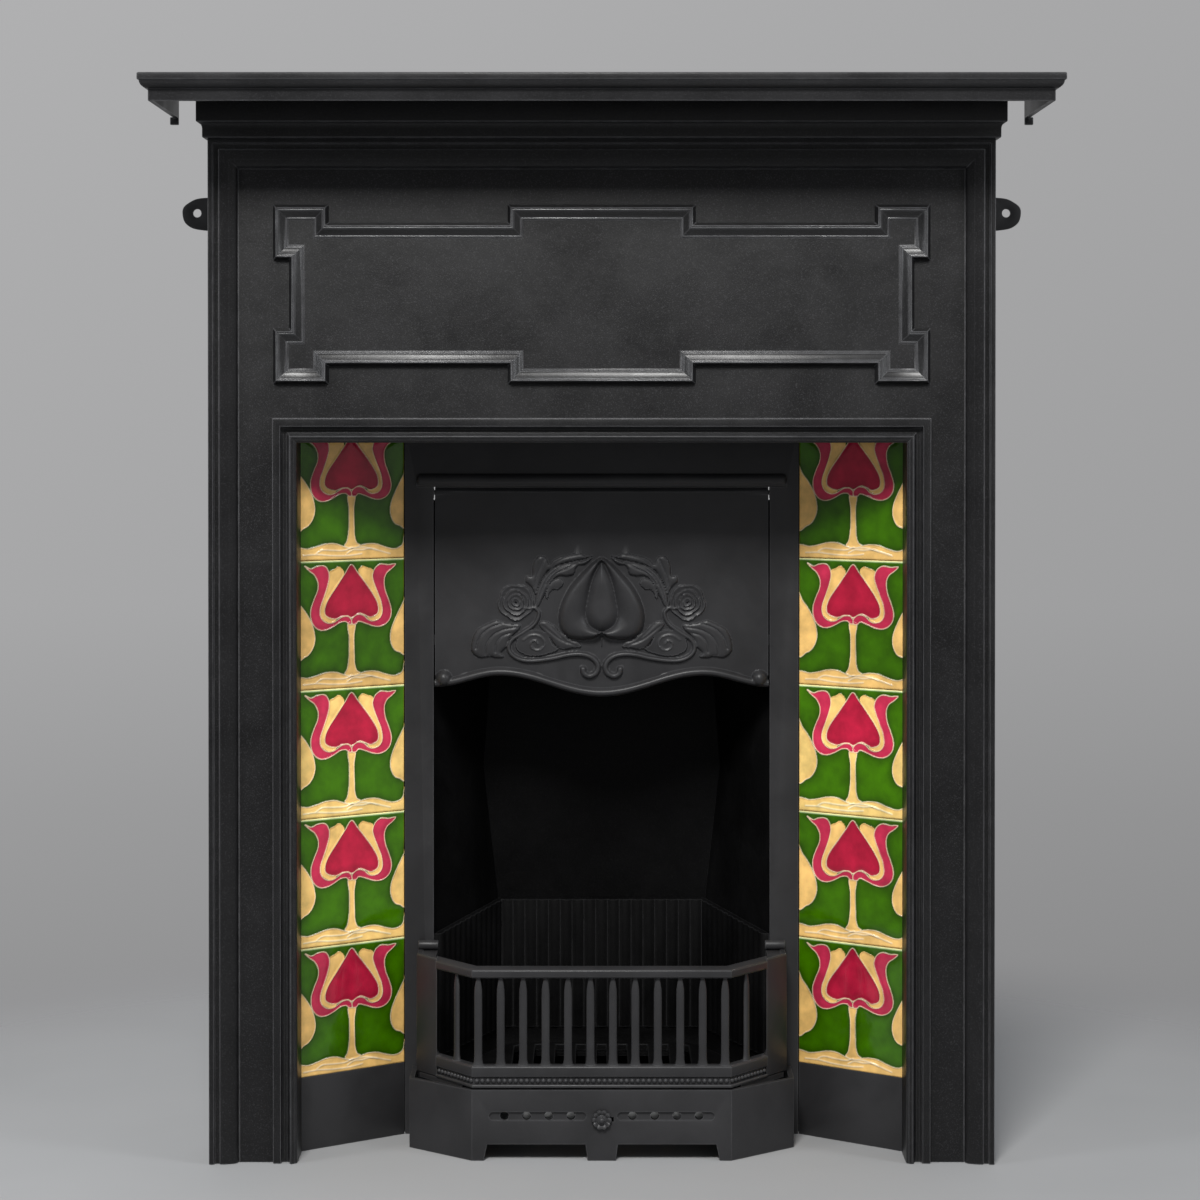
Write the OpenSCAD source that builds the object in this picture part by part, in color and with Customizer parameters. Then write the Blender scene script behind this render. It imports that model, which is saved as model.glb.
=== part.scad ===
// Tiled cast iron combination fireplace: surround, shelf, splayed tile panels and register grate.
// Millimetres. X runs along the wall, Y runs back into the chimney opening, Z is up.
// Inside the modules a depth d counts back from the front plane of the pilasters.

/* [Castings] */
// Wall thickness of the castings
iron = 6; // [5:0.5:8]
// Running gap between pieces that lift, slide or swing
loose = 1.5; // [1:0.1:2]
// Gap under pieces that only rest on one another
rest_gap = 0.3; // [0.2:0.05:0.4]

/* [Surround] */
// Width across the pilasters
body_w = 914; // [880:1:1000]
// Depth from the front plane to the wall
body_d = 95; // [85:1:120]
// Height of the header above the opening
header_h = 353; // [330:1:420]
// Clear width of the opening between the inner mouldings
opening_w = 710; // [690:1:740]
// Width of the outer moulding
outer_mould_w = 34; // [26:1:40]
// Width of the inner moulding round the opening
inner_mould_w = 28; // [22:1:34]
// Depth of the flat fields behind the front plane
field_drop = 12; // [8:0.5:16]
// Depth of the return inside the opening
return_d = 57.8; // [50:0.1:70]
// Width of the flange behind that return
return_flange_w = 36; // [35:1:40]

/* [Header moulding] */
// Overall width of the stepped moulding
panel_w = 765; // [700:1:790]
// Overall height of the stepped moulding
panel_h = 209; // [180:1:240]
// Side of each corner box
panel_corner = 65; // [50:1:75]
// Width of the raised run in the middle
panel_middle = 219; // [160:1:280]
// Step up or down between the runs
panel_step = 21; // [14:1:26]
// Step in or out of the upright runs
panel_side_step = 18.6; // [14:0.1:24]
// Width of the moulding band
panel_band = 20; // [14:1:24]
// Height of the moulding above its field
panel_proud = 8; // [5:0.5:11]

/* [Cornice and shelf] */
// Projection of the cornice on the front and both sides
cornice_out = 12; // [8:1:18]
// Height of the cove under the frieze
cove_h = 19; // [14:1:26]
// Height of the frieze band
frieze_h = 35.6; // [28:0.1:42]
// Width of the shelf
shelf_w = 1040; // [990:1:1120]
// Depth of the shelf from the wall
shelf_d = 220; // [190:1:260]
// Thickness of the shelf slab
slab_t = 8.4; // [7:0.1:12]
// Height of the hollow moulding under the slab
cyma_h = 9; // [7:0.5:12]
// Height of the plain fascia under that moulding
fascia_h = 13.6; // [10:0.1:18]
// How far the fascia stands in from the slab's edge
fascia_in = 11; // [8:0.5:14]
// Distance of each shelf bolt from the middle
shelf_bolt_x = 330; // [250:1:400]

/* [Wall lugs] */
// Height of the lug holes above the floor
lug_z = 1112; // [1000:1:1140]
// Distance from the side of the body to the hole
lug_out = 24; // [22:0.5:30]
// Outer radius of a lug
lug_r = 18; // [15:0.5:20]
// Radius of the screw hole
lug_hole_r = 5; // [3:0.1:6]

/* [Tiles] */
// Side of a square tile
tile = 152.4; // [148:0.1:154]
// Thickness of a tile
tile_t = 9; // [7:0.5:11]
// Joint between two tiles
tile_gap = 0.8; // [0.5:0.1:2]
// Angle of the tile panels to the wall
splay = 36.7; // [34:0.1:40]
// Height of the plinth under the bottom tile
plinth_h = 87; // [60:1:110]
// How far a tile's outer edge hides behind the surround
tile_tuck = 8.4; // [7:0.1:10]
// How far the top tile hides behind the header
tile_top_tuck = 12.2; // [9:0.1:16]

/* [Insert plate] */
// Clear width between the jambs
fire_w = 407; // [380:1:415]
// Height of the plate's top strip, in view above the hood
top_strip_h = 52.7; // [44:0.1:64]
// Length of the half-round ridge over the hood
ridge_len = 448; // [420:1:460]
// Radius of that ridge
ridge_r = 4; // [3:0.5:5]

/* [Hood] */
// Height of the hood from its hinge to its lowest edge
hood_drop = 247; // [200:1:280]
// Thickness of the hood plate
hood_t = 5; // [4:0.5:6]
// How far the middle of the hood bows forward
hood_bow = 5.2; // [3:0.1:8]
// Rise from the middle of the lower edge to its crests
hood_wave = 25; // [15:1:35]
// Fall from the crests to the ends
hood_dip = 14; // [8:1:20]
// Distance of each crest from the middle
hood_crest_x = 123; // [100:1:140]
// Radius of the hinge pins
hood_pin_r = 3; // [2.5:0.1:4]
// Radius of the rolled top edge
hood_roll_r = 6; // [5.5:0.1:6.5]
// Height of the bud in relief
bud_h = 70; // [50:1:80]
// Half width of the bud
bud_half = 48; // [35:0.5:55]
// Height of the bud's middle above the lower edge
bud_up = 94; // [80:1:110]
// Radius of a rose
rose_r = 14; // [8:0.5:18]
// Distance of each rose from the middle
rose_x = 101; // [80:1:130]
// Height of the roses above the lower edge
rose_up = 102; // [80:1:120]
// Radius of the balls at the ends of the lower edge
ball_r = 9; // [6:0.5:10]
// Running clearance of pins in their holes
pin_clear = 0.1; // [0.05:0.01:0.15]

/* [Fire chamber] */
// Depth from the insert plate to the fireback
chamber_d = 185; // [160:1:220]
// Half width of the chamber at the fireback
chamber_back = 132; // [115:1:145]
// Thickness of the fireback
back_t = 10; // [8:0.5:16]
// Height of the knee in the fireback
knee_z = 430; // [380:1:480]
// How far the knee leans forward
knee_in = 37; // [20:1:50]
// Height of the bend above the knee
bend_up = 130; // [100:1:160]
// Height at which the upright foot of the fireback ends
back_foot_z = 262; // [255:1:300]
// Half width of the flue way in the throat plate
flue_half_w = 110; // [80:1:115]
// Depth of the flue way
flue_d = 80; // [60:1:90]

/* [Fire basket] */
// Half width inside the basket at the jambs
basket_half = 197; // [185:1:199]
// Underside of the basket
basket_z = 60; // [50:1:64]
// Height of the rim at the jambs
rim_z = 242; // [225:1:250]
// Rise of the rim towards the back
rim_rise = 14; // [5:1:18]
// Height at which the flutes begin
flute_z = 95; // [90:1:110]
// Pitch of the flutes
flute_pitch = 15; // [12:0.5:20]
// Depth of the flutes
flute_deep = 2.5; // [1.5:0.1:3.5]
// Width of the ledge that carries the bottom grate
ledge_w = 16; // [13:0.5:20]
// Thickness of the bottom grate
grate_t = 9; // [7:0.5:12]
// Pitch of the bottom grate's slots
slot_pitch = 26; // [22:1:32]
// Width of those slots
slot_w = 12; // [8:0.5:14]

/* [Front bars] */
// Height of the underside of the front bars
bars_z = 84; // [84:1:92]
// Height of the top rail
bars_top = 226; // [205:1:240]
// Half width of the flat front
bars_front = 152; // [130:1:158]
// Depth of the flat front behind the pilasters
bars_front_d = 21; // [15:1:35]
// Half width at the jambs
bars_end = 223; // [212:1:226]
// Depth of the canted sides' outer ends
bars_end_d = 112; // [95:1:120]
// Thickness of the rails
rail_t = 12; // [9:0.5:14]
// Height of the top rail
rail_h = 13; // [10:0.5:18]
// Height of the bottom rail with its bead row
sill_h = 27; // [20:0.5:30]
// Number of upright bars
bar_count = 14; // [10:2:18]
// Pitch of the upright bars
bar_pitch = 26.3; // [20:0.1:27]
// Radius of an upright bar
bar_r = 4.7; // [3.5:0.1:5.5]
// Width of the plain stile at each end
stile_w = 27; // [20:1:32]
// Radius of the rolled hook at each end
hook_r = 6; // [5:0.5:7]

/* [Ash cover] */
// Height of the ash cover
cover_h = 82.5; // [76:0.5:83]
// Half width of its flat front
cover_front = 152; // [140:1:158]
// Depth of its front behind the pilasters
cover_front_d = 19; // [12:1:24]
// Half width at its ends
cover_end = 229; // [227:1:232]
// Depth of its canted sides' outer ends
cover_end_d = 84; // [70:1:100]
// Height of the two openings at the floor
foot_h = 19; // [12:0.5:24]
// Half width of the foot in the middle
foot_half_w = 19; // [14:0.5:24]
// Outer end of the floor openings
foot_end = 134; // [120:1:136]
// Height of the row of air holes
air_z = 52; // [46:0.5:58]
// Radius of an air hole
air_r = 5; // [3.5:0.1:6]
// Pitch of the air holes
air_pitch = 26; // [24:0.5:27]
// Distance of the innermost air hole from the middle
air_first = 36; // [32:0.5:38]
// Travel of the damper slide
damper_travel = 11; // [10.5:0.1:12]
// Radius of the rosette knob
knob_r = 12; // [9:0.5:14]
// Height of the knob
knob_z = 48; // [44:0.5:52]

/* [Fasteners] */
// Radius of the assembly bolts
bolt_r = 4; // [3:0.5:5]
// Radius of the clearance holes for them
bolt_hole_r = 4.5; // [3.5:0.1:5.5]
// Distance across the corners of the nuts and bolt heads
hex_w = 15; // [12:0.5:17]
// Thickness of the nuts and bolt heads
hex_t = 5.5; // [4:0.5:7]

/* [Hidden] */
$fn = 48;
TILES_UP = 5;
SIDES = ["left", "right"];

iron_black = [0.20, 0.20, 0.21];
iron_worn = [0.27, 0.27, 0.28];
steel_grey = [0.42, 0.42, 0.44];
tile_green = [0.13, 0.36, 0.06];

// heights
opening_h = plinth_h + TILES_UP * tile + (TILES_UP - 1) * tile_gap - tile_top_tuck;
tiles_top = opening_h + tile_top_tuck;
tray_top = tiles_top + iron;
body_h = opening_h + header_h;
frieze_z = body_h + cove_h;
shelf_seat_z = frieze_z + frieze_h;
total_h = shelf_seat_z + slab_t;
arch_z = opening_h - top_strip_h;
hinge_z = arch_z - 9.3;
chamber_top = hinge_z - 16;

// half widths
half_w = body_w / 2;
opening_half = opening_w / 2;
jamb_half = fire_w / 2;
field_half = opening_half + inner_mould_w;
field_back = field_drop + iron;

// splayed panels: s runs along a panel from its outer edge, t runs back through it
tile_x0 = opening_half + tile_tuck * cos(splay) - 1;
tile_d0 = return_d + 1.2;
function splay_pt(s, t) = [tile_x0 - s * cos(splay) + t * sin(splay),
                           tile_d0 + s * sin(splay) + t * cos(splay)];
insert_d = splay_pt(tile, 0)[1];
insert_half = splay_pt(tile, 0)[0] - rest_gap;
insert_back = insert_d + iron;
tray_t = iron - 1;

// chamber: half width of the inner face of a cheek at depth d
back_d = insert_back + chamber_d - iron;
cheek_x0 = jamb_half + 9;
cheek_lean = atan((cheek_x0 - chamber_back) / (back_d - insert_back));
function cheek_x(d) = cheek_x0 - (d - insert_back) * tan(cheek_lean);
function across(t) = t / cos(cheek_lean);
back_bolt_x = cheek_x(back_d - 2 * iron) + across(iron) + hex_w / 2 + 1;
back_half = back_bolt_x + hex_w / 2 + 1;
rear_d = back_d + back_t;

// the whole object is centred on the origin in plan
shelf_front_d = body_d - shelf_d;
front_y = -(shelf_front_d + rear_d) / 2;

hinge_d = insert_d + 10;
flap_pin_r = 3;
flue_d0 = insert_back + 40;
flap_pin_d = flue_d0 + flue_d + 10;
throat_z = chamber_top;
throat_top = throat_z + iron;
tray_bolt_zs = [150, 700];
back_bolt_zs = [60, 220];

module placed(tint) { color(tint) translate([0, front_y, 0]) children(); }
module mirrored() { for (m = [0, 1]) mirror([m, 0, 0]) children(); }
module on_side(side) { mirror([side == "left" ? 1 : 0, 0, 0]) children(); }
module upright(z0, z1) { translate([0, 0, z0]) linear_extrude(z1 - z0) children(); }
// a plane outline in x and z, made solid from depth d0 to depth d1
module facing(d0, d1) { translate([0, d1, 0]) rotate([90, 0, 0]) linear_extrude(d1 - d0) children(); }
// an outline in d and z, made solid from x0 to x1
module along_x(x0, x1) {
    translate([x0, 0, 0]) rotate([90, 0, 90]) linear_extrude(x1 - x0) children();
}
module rod_y(r, d0, d1) { translate([0, d1, 0]) rotate([90, 0, 0]) cylinder(r = r, h = d1 - d0); }
module rod_x(r, x0, x1) { translate([x0, 0, 0]) rotate([0, 90, 0]) cylinder(r = r, h = x1 - x0); }
module block(x0, x1, d0, d1, z0, z1) {
    translate([x0, d0, z0]) cube([x1 - x0, d1 - d0, z1 - z0]);
}

// quarter round from [u0, v0] to [u1, v1], leaving the first point flat
function ovolo(u0, v0, u1, v1, n = 6) =
    [for (i = [0:n]) [u0 + (u1 - u0) * sin(90 * i / n), v1 + (v0 - v1) * cos(90 * i / n)]];

// points of a closed right-angled path moved inwards by k, the path running clockwise
function unit(v) = v / norm(v);
function inset(path, k) = [for (i = [0:len(path) - 1])
    let (p = path[i], a = unit(p - path[(i + len(path) - 1) % len(path)]),
         b = unit(path[(i + 1) % len(path)] - p))
    p + k * ([a[1], -a[0]] + [b[1], -b[0]])];

// ---------------------------------------------------------------- surround

// profiles run inwards (u) from the moulding's outer edge and back (v) from the front plane
outer_profile = concat(
    [[0, 0], [iron, 0], [iron, 3.5], [12.5, 3.5], [12.5, 1]],
    ovolo(13.5, 1, outer_mould_w - 1, field_drop - 1.5),
    [[outer_mould_w - 1, field_drop + 1], [outer_mould_w, field_drop + 1],
     [outer_mould_w, field_back], [0, field_back]]);
inner_profile = concat(
    [[0, field_back], [0, 5], [0.28 * inner_mould_w, 5]],
    ovolo(0.28 * inner_mould_w, 9, 0.5 * inner_mould_w, 10, 3),
    [[0.8 * inner_mould_w, 4]],
    ovolo(0.8 * inner_mould_w, 1, inner_mould_w, 4, 4),
    [[inner_mould_w, field_back]]);

// a moulding on both sides and across the top of a rectangle, mitred at its corners
module mitred_moulding(half, top, width, profile, depth) {
    mirrored() intersection() {
        upright(0, top) translate([half, 0]) mirror([1, 0]) polygon(profile);
        facing(-1, depth + 1) polygon([[half - width, 0], [half, 0], [half, top],
                                       [half - width, top - width]]);
    }
    intersection() {
        translate([0, 0, top]) along_x(-half, half) polygon([for (p = profile) [p[1], -p[0]]]);
        facing(-1, depth + 1) polygon([[-half, top], [half, top], [half - width, top - width],
                                       [width - half, top - width]]);
    }
}

// one closed moulding with a box at each corner and a raised run in the middle of each long side
function panel_path() =
    let (w = panel_w / 2, h = panel_h / 2, c = panel_corner, s = panel_step, q = panel_side_step,
         m = panel_middle / 2,
         top = [[-w, h], [c - w, h], [c - w, h - s], [-m, h - s], [-m, h], [m, h], [m, h - s],
                [w - c, h - s], [w - c, h], [w, h], [w, h - c], [w - q, h - c], [w - q, c - h],
                [w, c - h]])
    concat(top, [for (p = top) -p]);

module header_moulding() {
    levels = [[0, panel_proud * 0.45], [panel_band * 0.18, panel_proud]];
    translate([0, 0, opening_h + header_h / 2 - 4])
        for (level = levels)
            facing(field_drop - level[1], field_drop + 1) difference() {
                polygon(inset(panel_path(), level[0]));
                polygon(inset(panel_path(), panel_band - level[0] / 2));
            }
}

// front and side faces share one outline, so the corners mitre by themselves
module mitred_slab(half, front, back, profile) {
    reach = max([for (p = profile) p[0]]) + 1;
    intersection() {
        facing(front - reach, back) polygon(concat(
            [for (p = profile) [half + p[0], p[1]]],
            [for (i = [len(profile) - 1:-1:0]) [-half - profile[i][0], profile[i][1]]]));
        along_x(-2 * half, 2 * half) polygon(concat(
            [for (p = profile) [front - p[0], p[1]]],
            [[back, profile[len(profile) - 1][1]], [back, profile[0][1]]]));
    }
}

cornice_profile = concat(
    [[0, body_h - iron], [3, body_h - iron], [3, body_h + 3]],
    [for (i = [0:5]) [cornice_out - 1 - (cornice_out - 4) * cos(18 * i),
                      body_h + 3 + (cove_h - 5) * sin(18 * i)]],
    [[cornice_out, frieze_z - 2], [cornice_out, shelf_seat_z]]);

module cornice() {
    inner_x = half_w + cornice_out - iron;
    difference() {
        mitred_slab(half_w, 0, body_d, cornice_profile);
        block(-inner_x, inner_x, iron - cornice_out, body_d + 1, frieze_z, shelf_seat_z - iron);
        block(iron - half_w, half_w - iron, field_back, body_d + 1, body_h - iron - 1, frieze_z + 1);
    }
}

module wall_lug() {
    translate([half_w, 0, lug_z]) difference() {
        union() {
            translate([lug_out, 0, 0]) rod_y(lug_r, body_d - iron, body_d);
            block(-iron, lug_out, body_d - iron, body_d, -lug_r, lug_r);
        }
        translate([lug_out, 0, 0]) rod_y(lug_hole_r, body_d - iron - 1, body_d + 1);
    }
}

module surround_solid() {
    mitred_moulding(half_w, body_h, outer_mould_w, outer_profile, field_back);
    mitred_moulding(field_half, opening_h + inner_mould_w, inner_mould_w, inner_profile, field_back);
    facing(field_drop, field_back) difference() {
        translate([-half_w + iron, 0]) square([body_w - 2 * iron, body_h - iron]);
        translate([-field_half + 1, -1])
            square([2 * field_half - 2, opening_h + inner_mould_w]);
    }
    header_moulding();
    mirrored() {
        block(half_w - iron, half_w, iron, body_d, 0, body_h);
        block(opening_half, opening_half + iron, field_back - iron, return_d, 0, opening_h + iron);
        block(opening_half, opening_half + return_flange_w, return_d - iron, return_d, 0, tray_top);
        wall_lug();
    }
    block(-opening_half, opening_half, field_back - iron, return_d, opening_h, opening_h + iron);
    block(-opening_half, opening_half, return_d - iron, return_d, opening_h, tray_top);
    cornice();
}

tray_bolt_x = opening_half + return_flange_w - hex_w / 2 + 0.5;

module surround() {
    placed(iron_black) difference() {
        surround_solid();
        mirrored() for (z = tray_bolt_zs)
            translate([tray_bolt_x, 0, z]) rod_y(bolt_hole_r, return_d - iron - 1, return_d + 1);
        mirrored() translate([shelf_bolt_x, body_d / 2, shelf_seat_z - iron - 1])
            cylinder(r = bolt_hole_r, h = iron + 2);
    }
}

// ---------------------------------------------------------------- shelf

shelf_tap_deep = slab_t - 2;
shelf_profile = concat(
    [[-fascia_in, shelf_seat_z - cyma_h - fascia_h], [-fascia_in, shelf_seat_z - cyma_h]],
    [for (i = [1:6]) [-2 - (fascia_in - 2) * (1 - sin(15 * i)),
                      shelf_seat_z - cyma_h * cos(15 * i)]],
    [[-0.8, shelf_seat_z], [0, shelf_seat_z + 1], [0, total_h - 1], [-1, total_h]]);
// small ears at the rear corners hold the shelf to the wall
shelf_ear = [10, iron, 8];

module mantel_shelf() {
    inner_x = shelf_w / 2 - fascia_in - iron;
    fascia_z = shelf_seat_z - cyma_h - fascia_h;
    placed(iron_black) difference() {
        union() {
            mitred_slab(shelf_w / 2, shelf_front_d, body_d, shelf_profile);
            mirrored() translate([inner_x, body_d - shelf_ear[1], fascia_z - shelf_ear[2]])
                cube([shelf_ear[0], shelf_ear[1], shelf_ear[2] + 1]);
        }
        block(-inner_x, inner_x, shelf_front_d + fascia_in + iron, body_d + 1, fascia_z - 1,
              shelf_seat_z);
        mirrored() translate([shelf_bolt_x, body_d / 2, shelf_seat_z - 1])
            cylinder(r = bolt_r + pin_clear, h = shelf_tap_deep + 1);
    }
}

module hex_head() { cylinder(d = hex_w, h = hex_t, $fn = 6); }

module shelf_bolts() {
    placed(steel_grey) mirrored()
        translate([shelf_bolt_x, body_d / 2, shelf_seat_z - iron - hex_t]) {
            hex_head();
            cylinder(r = bolt_r, h = hex_t + iron + shelf_tap_deep - 0.5);
        }
}

// ---------------------------------------------------------------- tile panels

tray_flange_d = return_d + iron;
bed = tile_t + 0.2;
// one stud on each jamb holds the cheek's flange and the tray's flange over it
tray_seat_d = insert_back + iron;
stud_x = insert_half - hex_w / 2 - 1.5;
stud_len = 2 * iron + hex_t + 2;

function tray_outline() = [
    [stud_x - hex_w / 2 - 1, tray_seat_d], [insert_half + 3.5, tray_seat_d],
    [insert_half + 3.5, insert_back + 1], splay_pt(tile + 0.5, bed), splay_pt(-1, bed),
    [splay_pt(-1, 0)[0], return_d], [opening_half + return_flange_w, return_d],
    [opening_half + return_flange_w, tray_flange_d], [splay_pt(-8, 0)[0] + 8, tray_flange_d],
    splay_pt(-7, bed + tray_t), splay_pt(tile + 3, bed + tray_t),
    [insert_half + 3.5, tray_seat_d + iron], [stud_x - hex_w / 2 - 1, tray_seat_d + iron]];

module tile_tray(side) {
    placed(iron_black) on_side(side) difference() {
        union() {
            upright(0, tray_top) polygon(tray_outline());
            // plinth under the bottom tile
            upright(0, plinth_h) polygon([splay_pt(0.5, 0.5), splay_pt(0.5, bed + 1),
                                          splay_pt(tile - 0.5, bed + 1),
                                          splay_pt(tile - 0.5, 0.5)]);
        }
        for (z = tray_bolt_zs) {
            translate([tray_bolt_x, 0, z]) rod_y(bolt_hole_r, return_d - 1, tray_flange_d + 1);
            translate([stud_x, 0, z]) rod_y(bolt_hole_r, tray_seat_d - 1, tray_seat_d + iron + 1);
        }
    }
}

module tile_one(side, n) {
    foot_z = plinth_h + (n - 1) * (tile + tile_gap);
    placed(tile_green) on_side(side) upright(foot_z, foot_z + tile)
        polygon([splay_pt(0, 0), splay_pt(tile, 0), splay_pt(tile, tile_t), splay_pt(0, tile_t)]);
}

module tray_bolts() {
    placed(steel_grey) mirrored() for (z = tray_bolt_zs) translate([tray_bolt_x, 0, z]) {
        rod_y(bolt_r, return_d - iron - hex_t, tray_flange_d + hex_t + 3);
        translate([0, return_d - iron, 0]) rotate([90, 0, 0]) hex_head();
    }
}

module nut_at(x, d, z) {
    translate([x, d + hex_t, z]) rotate([90, 0, 0]) difference() {
        hex_head();
        translate([0, 0, -1]) cylinder(r = bolt_r + pin_clear, h = hex_t + 2);
    }
}

module frame_nuts() {
    placed(steel_grey) mirrored() {
        for (z = tray_bolt_zs) {
            nut_at(tray_bolt_x, tray_flange_d, z);
            nut_at(stud_x, tray_seat_d + iron, z);
        }
    }
}

// ---------------------------------------------------------------- insert plate

// lugs on the jambs, and the tongue of the bars that drops behind them
hook_d = insert_d - 9;
lug_lip_t = 4;
hook_z = bars_top + 5;
hook_lug_z = hook_z - hook_r - rest_gap;
return_t = 8;
hook_x0 = bars_end - stile_w + 1;
hook_x1 = bars_end - 1;
lug_x0 = max(jamb_half + 1, hook_x0 + 2);
lug_x1 = bars_end - return_t - loose;
bracket_x1 = jamb_half + 10;
hood_stop_z = hinge_z - hood_drop * 0.75;
hood_rear_d = insert_d + 3.7 + hood_t;

module hood_bracket() {
    difference() {
        union() {
            translate([0, hinge_d, hinge_z]) rod_x(hood_roll_r + 1, jamb_half, bracket_x1);
            block(jamb_half, bracket_x1, insert_back - 1, hinge_d, hinge_z - hood_roll_r - 1,
                  hinge_z + hood_roll_r + 1);
        }
        translate([0, hinge_d, hinge_z])
            rod_x(hood_pin_r + pin_clear / 2, jamb_half - 1, bracket_x1 + 1);
    }
}

// ears behind the jambs that the hood leans on
module hood_stop() {
    block(jamb_half - 6, jamb_half + 4, hood_rear_d + rest_gap, hood_rear_d + rest_gap + 5,
          hood_stop_z, hood_stop_z + 12);
    block(jamb_half, jamb_half + 4, insert_back - 1, hood_rear_d + rest_gap + 5,
          hood_stop_z, hood_stop_z + 12);
}

module bars_lug() {
    block(lug_x0, lug_x1, hook_d - lug_lip_t - 1, insert_d + 1, hook_lug_z - 17, hook_lug_z - 11);
    block(lug_x0, lug_x1, hook_d - lug_lip_t - 1, hook_d - 1, hook_lug_z - 17, hook_lug_z);
}

module insert_plate() {
    placed(iron_black) {
        difference() {
            facing(insert_d, insert_back)
                translate([-insert_half, 0]) square([2 * insert_half, tray_top]);
            block(-jamb_half, jamb_half, insert_d - 1, insert_back + 1, -1, arch_z);
        }
        along_x(-ridge_len / 2, ridge_len / 2) translate([insert_d + 0.5, arch_z + 1.5])
            intersection() {
                circle(r = ridge_r);
                translate([-2 * ridge_r, -ridge_r]) square([2 * ridge_r, 2 * ridge_r]);
            }
        mirrored() {
            hood_bracket();
            hood_stop();
            bars_lug();
            for (z = tray_bolt_zs)
                translate([stud_x, 0, z]) rod_y(bolt_r, insert_back - 1, insert_back + stud_len);
        }
    }
}

// closes the top between the header and the insert plate
module soffit_plate() {
    outer = opening_half + 8;
    placed(iron_black) upright(tray_top, tray_top + iron)
        polygon([[-outer, return_d - iron], [outer, return_d - iron],
                 [insert_half, insert_back], [-insert_half, insert_back]]);
}

// ---------------------------------------------------------------- hood

hood_half = jamb_half - loose;
hood_steps = 24;
hood_low = hinge_z - hood_drop;
function hood_front(x) = insert_d + 3.7 - hood_bow * (1 - pow(x / hood_half, 2));
function hood_edge(x) = hood_low + (abs(x) < hood_crest_x
    ? hood_wave * (1 - cos(180 * x / hood_crest_x)) / 2
    : hood_wave - hood_dip * (1 - cos(180 * (abs(x) - hood_crest_x) / (hood_half - hood_crest_x))) / 2);
hood_xs = [for (i = [-hood_steps:hood_steps]) hood_half * i / hood_steps];
bud_z = hood_low + bud_up;
function bud_x(k) = bud_half * pow(sin(180 * pow(k, 0.75)), 0.9);

module hood_shell(front, back) {
    upright(hood_low - 1, hinge_z + hood_roll_r) polygon(concat(
        [for (x = hood_xs) [x, hood_front(x) - front]],
        [for (i = [2 * hood_steps:-1:0]) [hood_xs[i], hood_front(hood_xs[i]) + back]]));
}

module hood() {
    placed(iron_worn) difference() {
        union() {
            intersection() {
                hood_shell(0, hood_t);
                facing(insert_d - 20, insert_d + 20) polygon(concat(
                    [for (x = hood_xs) [x, hood_edge(x)]],
                    [[hood_half, hinge_z + 1], [-hood_half, hinge_z + 1]]));
            }
            // rolled bead along the lower edge
            intersection() {
                hood_shell(4, 1);
                facing(insert_d - 20, insert_d + 20) polygon(concat(
                    [for (x = hood_xs) [x, hood_edge(x)]],
                    [for (i = [2 * hood_steps:-1:0]) [hood_xs[i], hood_edge(hood_xs[i]) + 7.5]]));
            }
            // bud in relief, wide below and pointed above
            intersection() {
                hood_shell(4, 1);
                facing(insert_d - 20, insert_d + 20) translate([0, bud_z - bud_h / 2]) polygon(concat(
                    [for (i = [0:16]) [bud_x(1 - i / 16), bud_h * i / 16]],
                    [for (i = [15:-1:1]) [-bud_x(1 - i / 16), bud_h * i / 16]]));
            }
            mirrored() {
                translate([hood_half - 10, hood_front(hood_half) - 1, hood_low + hood_wave])
                    sphere(r = ball_r);
                translate([rose_x, 0, hood_low + rose_up])
                    rod_y(rose_r, hood_front(rose_x) - 4, hood_front(rose_x) + 2);
            }
            translate([0, hinge_d, hinge_z]) rod_x(hood_roll_r, -hood_half, hood_half);
            block(-hood_half, hood_half, insert_d + 3.7, hinge_d, hinge_z - hood_roll_r, hinge_z + 2);
        }
        mirrored() translate([0, hinge_d, hinge_z])
            rod_x(hood_pin_r + pin_clear, hood_half - 16, hood_half + 1);
    }
}

module hood_pins() {
    placed(steel_grey) mirrored() translate([0, hinge_d, hinge_z])
        rod_x(hood_pin_r, hood_half - 15, bracket_x1 + 2);
}

// ---------------------------------------------------------------- fire chamber

// front face of the fireback, as [depth, height] from the floor up
back_face = [[back_d, 0], [back_d, back_foot_z], [back_d - knee_in, knee_z],
             [back_d - 0.45 * knee_in, knee_z + bend_up], [back_d - 5, chamber_top]];
cheek_ledge_ds = [insert_back + 40, back_d - 40];

module back_space() {
    along_x(-2 * back_half, 2 * back_half)
        polygon(concat(back_face, [[rear_d + 50, chamber_top + 1], [rear_d + 50, -1],
                                   [back_d, -1]]));
}

module cheek(side) {
    placed(iron_worn) on_side(side) difference() {
        union() {
            difference() {
                upright(0, chamber_top) polygon([
                    [cheek_x0, insert_back], [insert_half - 1, insert_back],
                    [insert_half - 1, insert_back + iron],
                    [cheek_x(insert_back + iron) + across(iron), insert_back + iron],
                    [cheek_x(back_d + 2) + across(iron), back_d + 2], [cheek_x(back_d + 2), back_d + 2]]);
                back_space();
            }
            block(cheek_x(back_d) + 2, back_half, back_d - iron, back_d, 20, back_foot_z - 10);
            // ledges that carry the basket
            for (d = cheek_ledge_ds)
                block(liner_in(d) - 4, cheek_x(d) + 2, d - 10, d + 10, basket_z - 12, basket_z);
        }
        for (z = tray_bolt_zs)
            translate([stud_x, 0, z]) rod_y(bolt_hole_r, insert_back - 1, insert_back + iron + 1);
        for (z = back_bolt_zs)
            translate([back_bolt_x, 0, z]) rod_y(bolt_hole_r, back_d - iron - 1, back_d + 1);
    }
}

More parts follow.
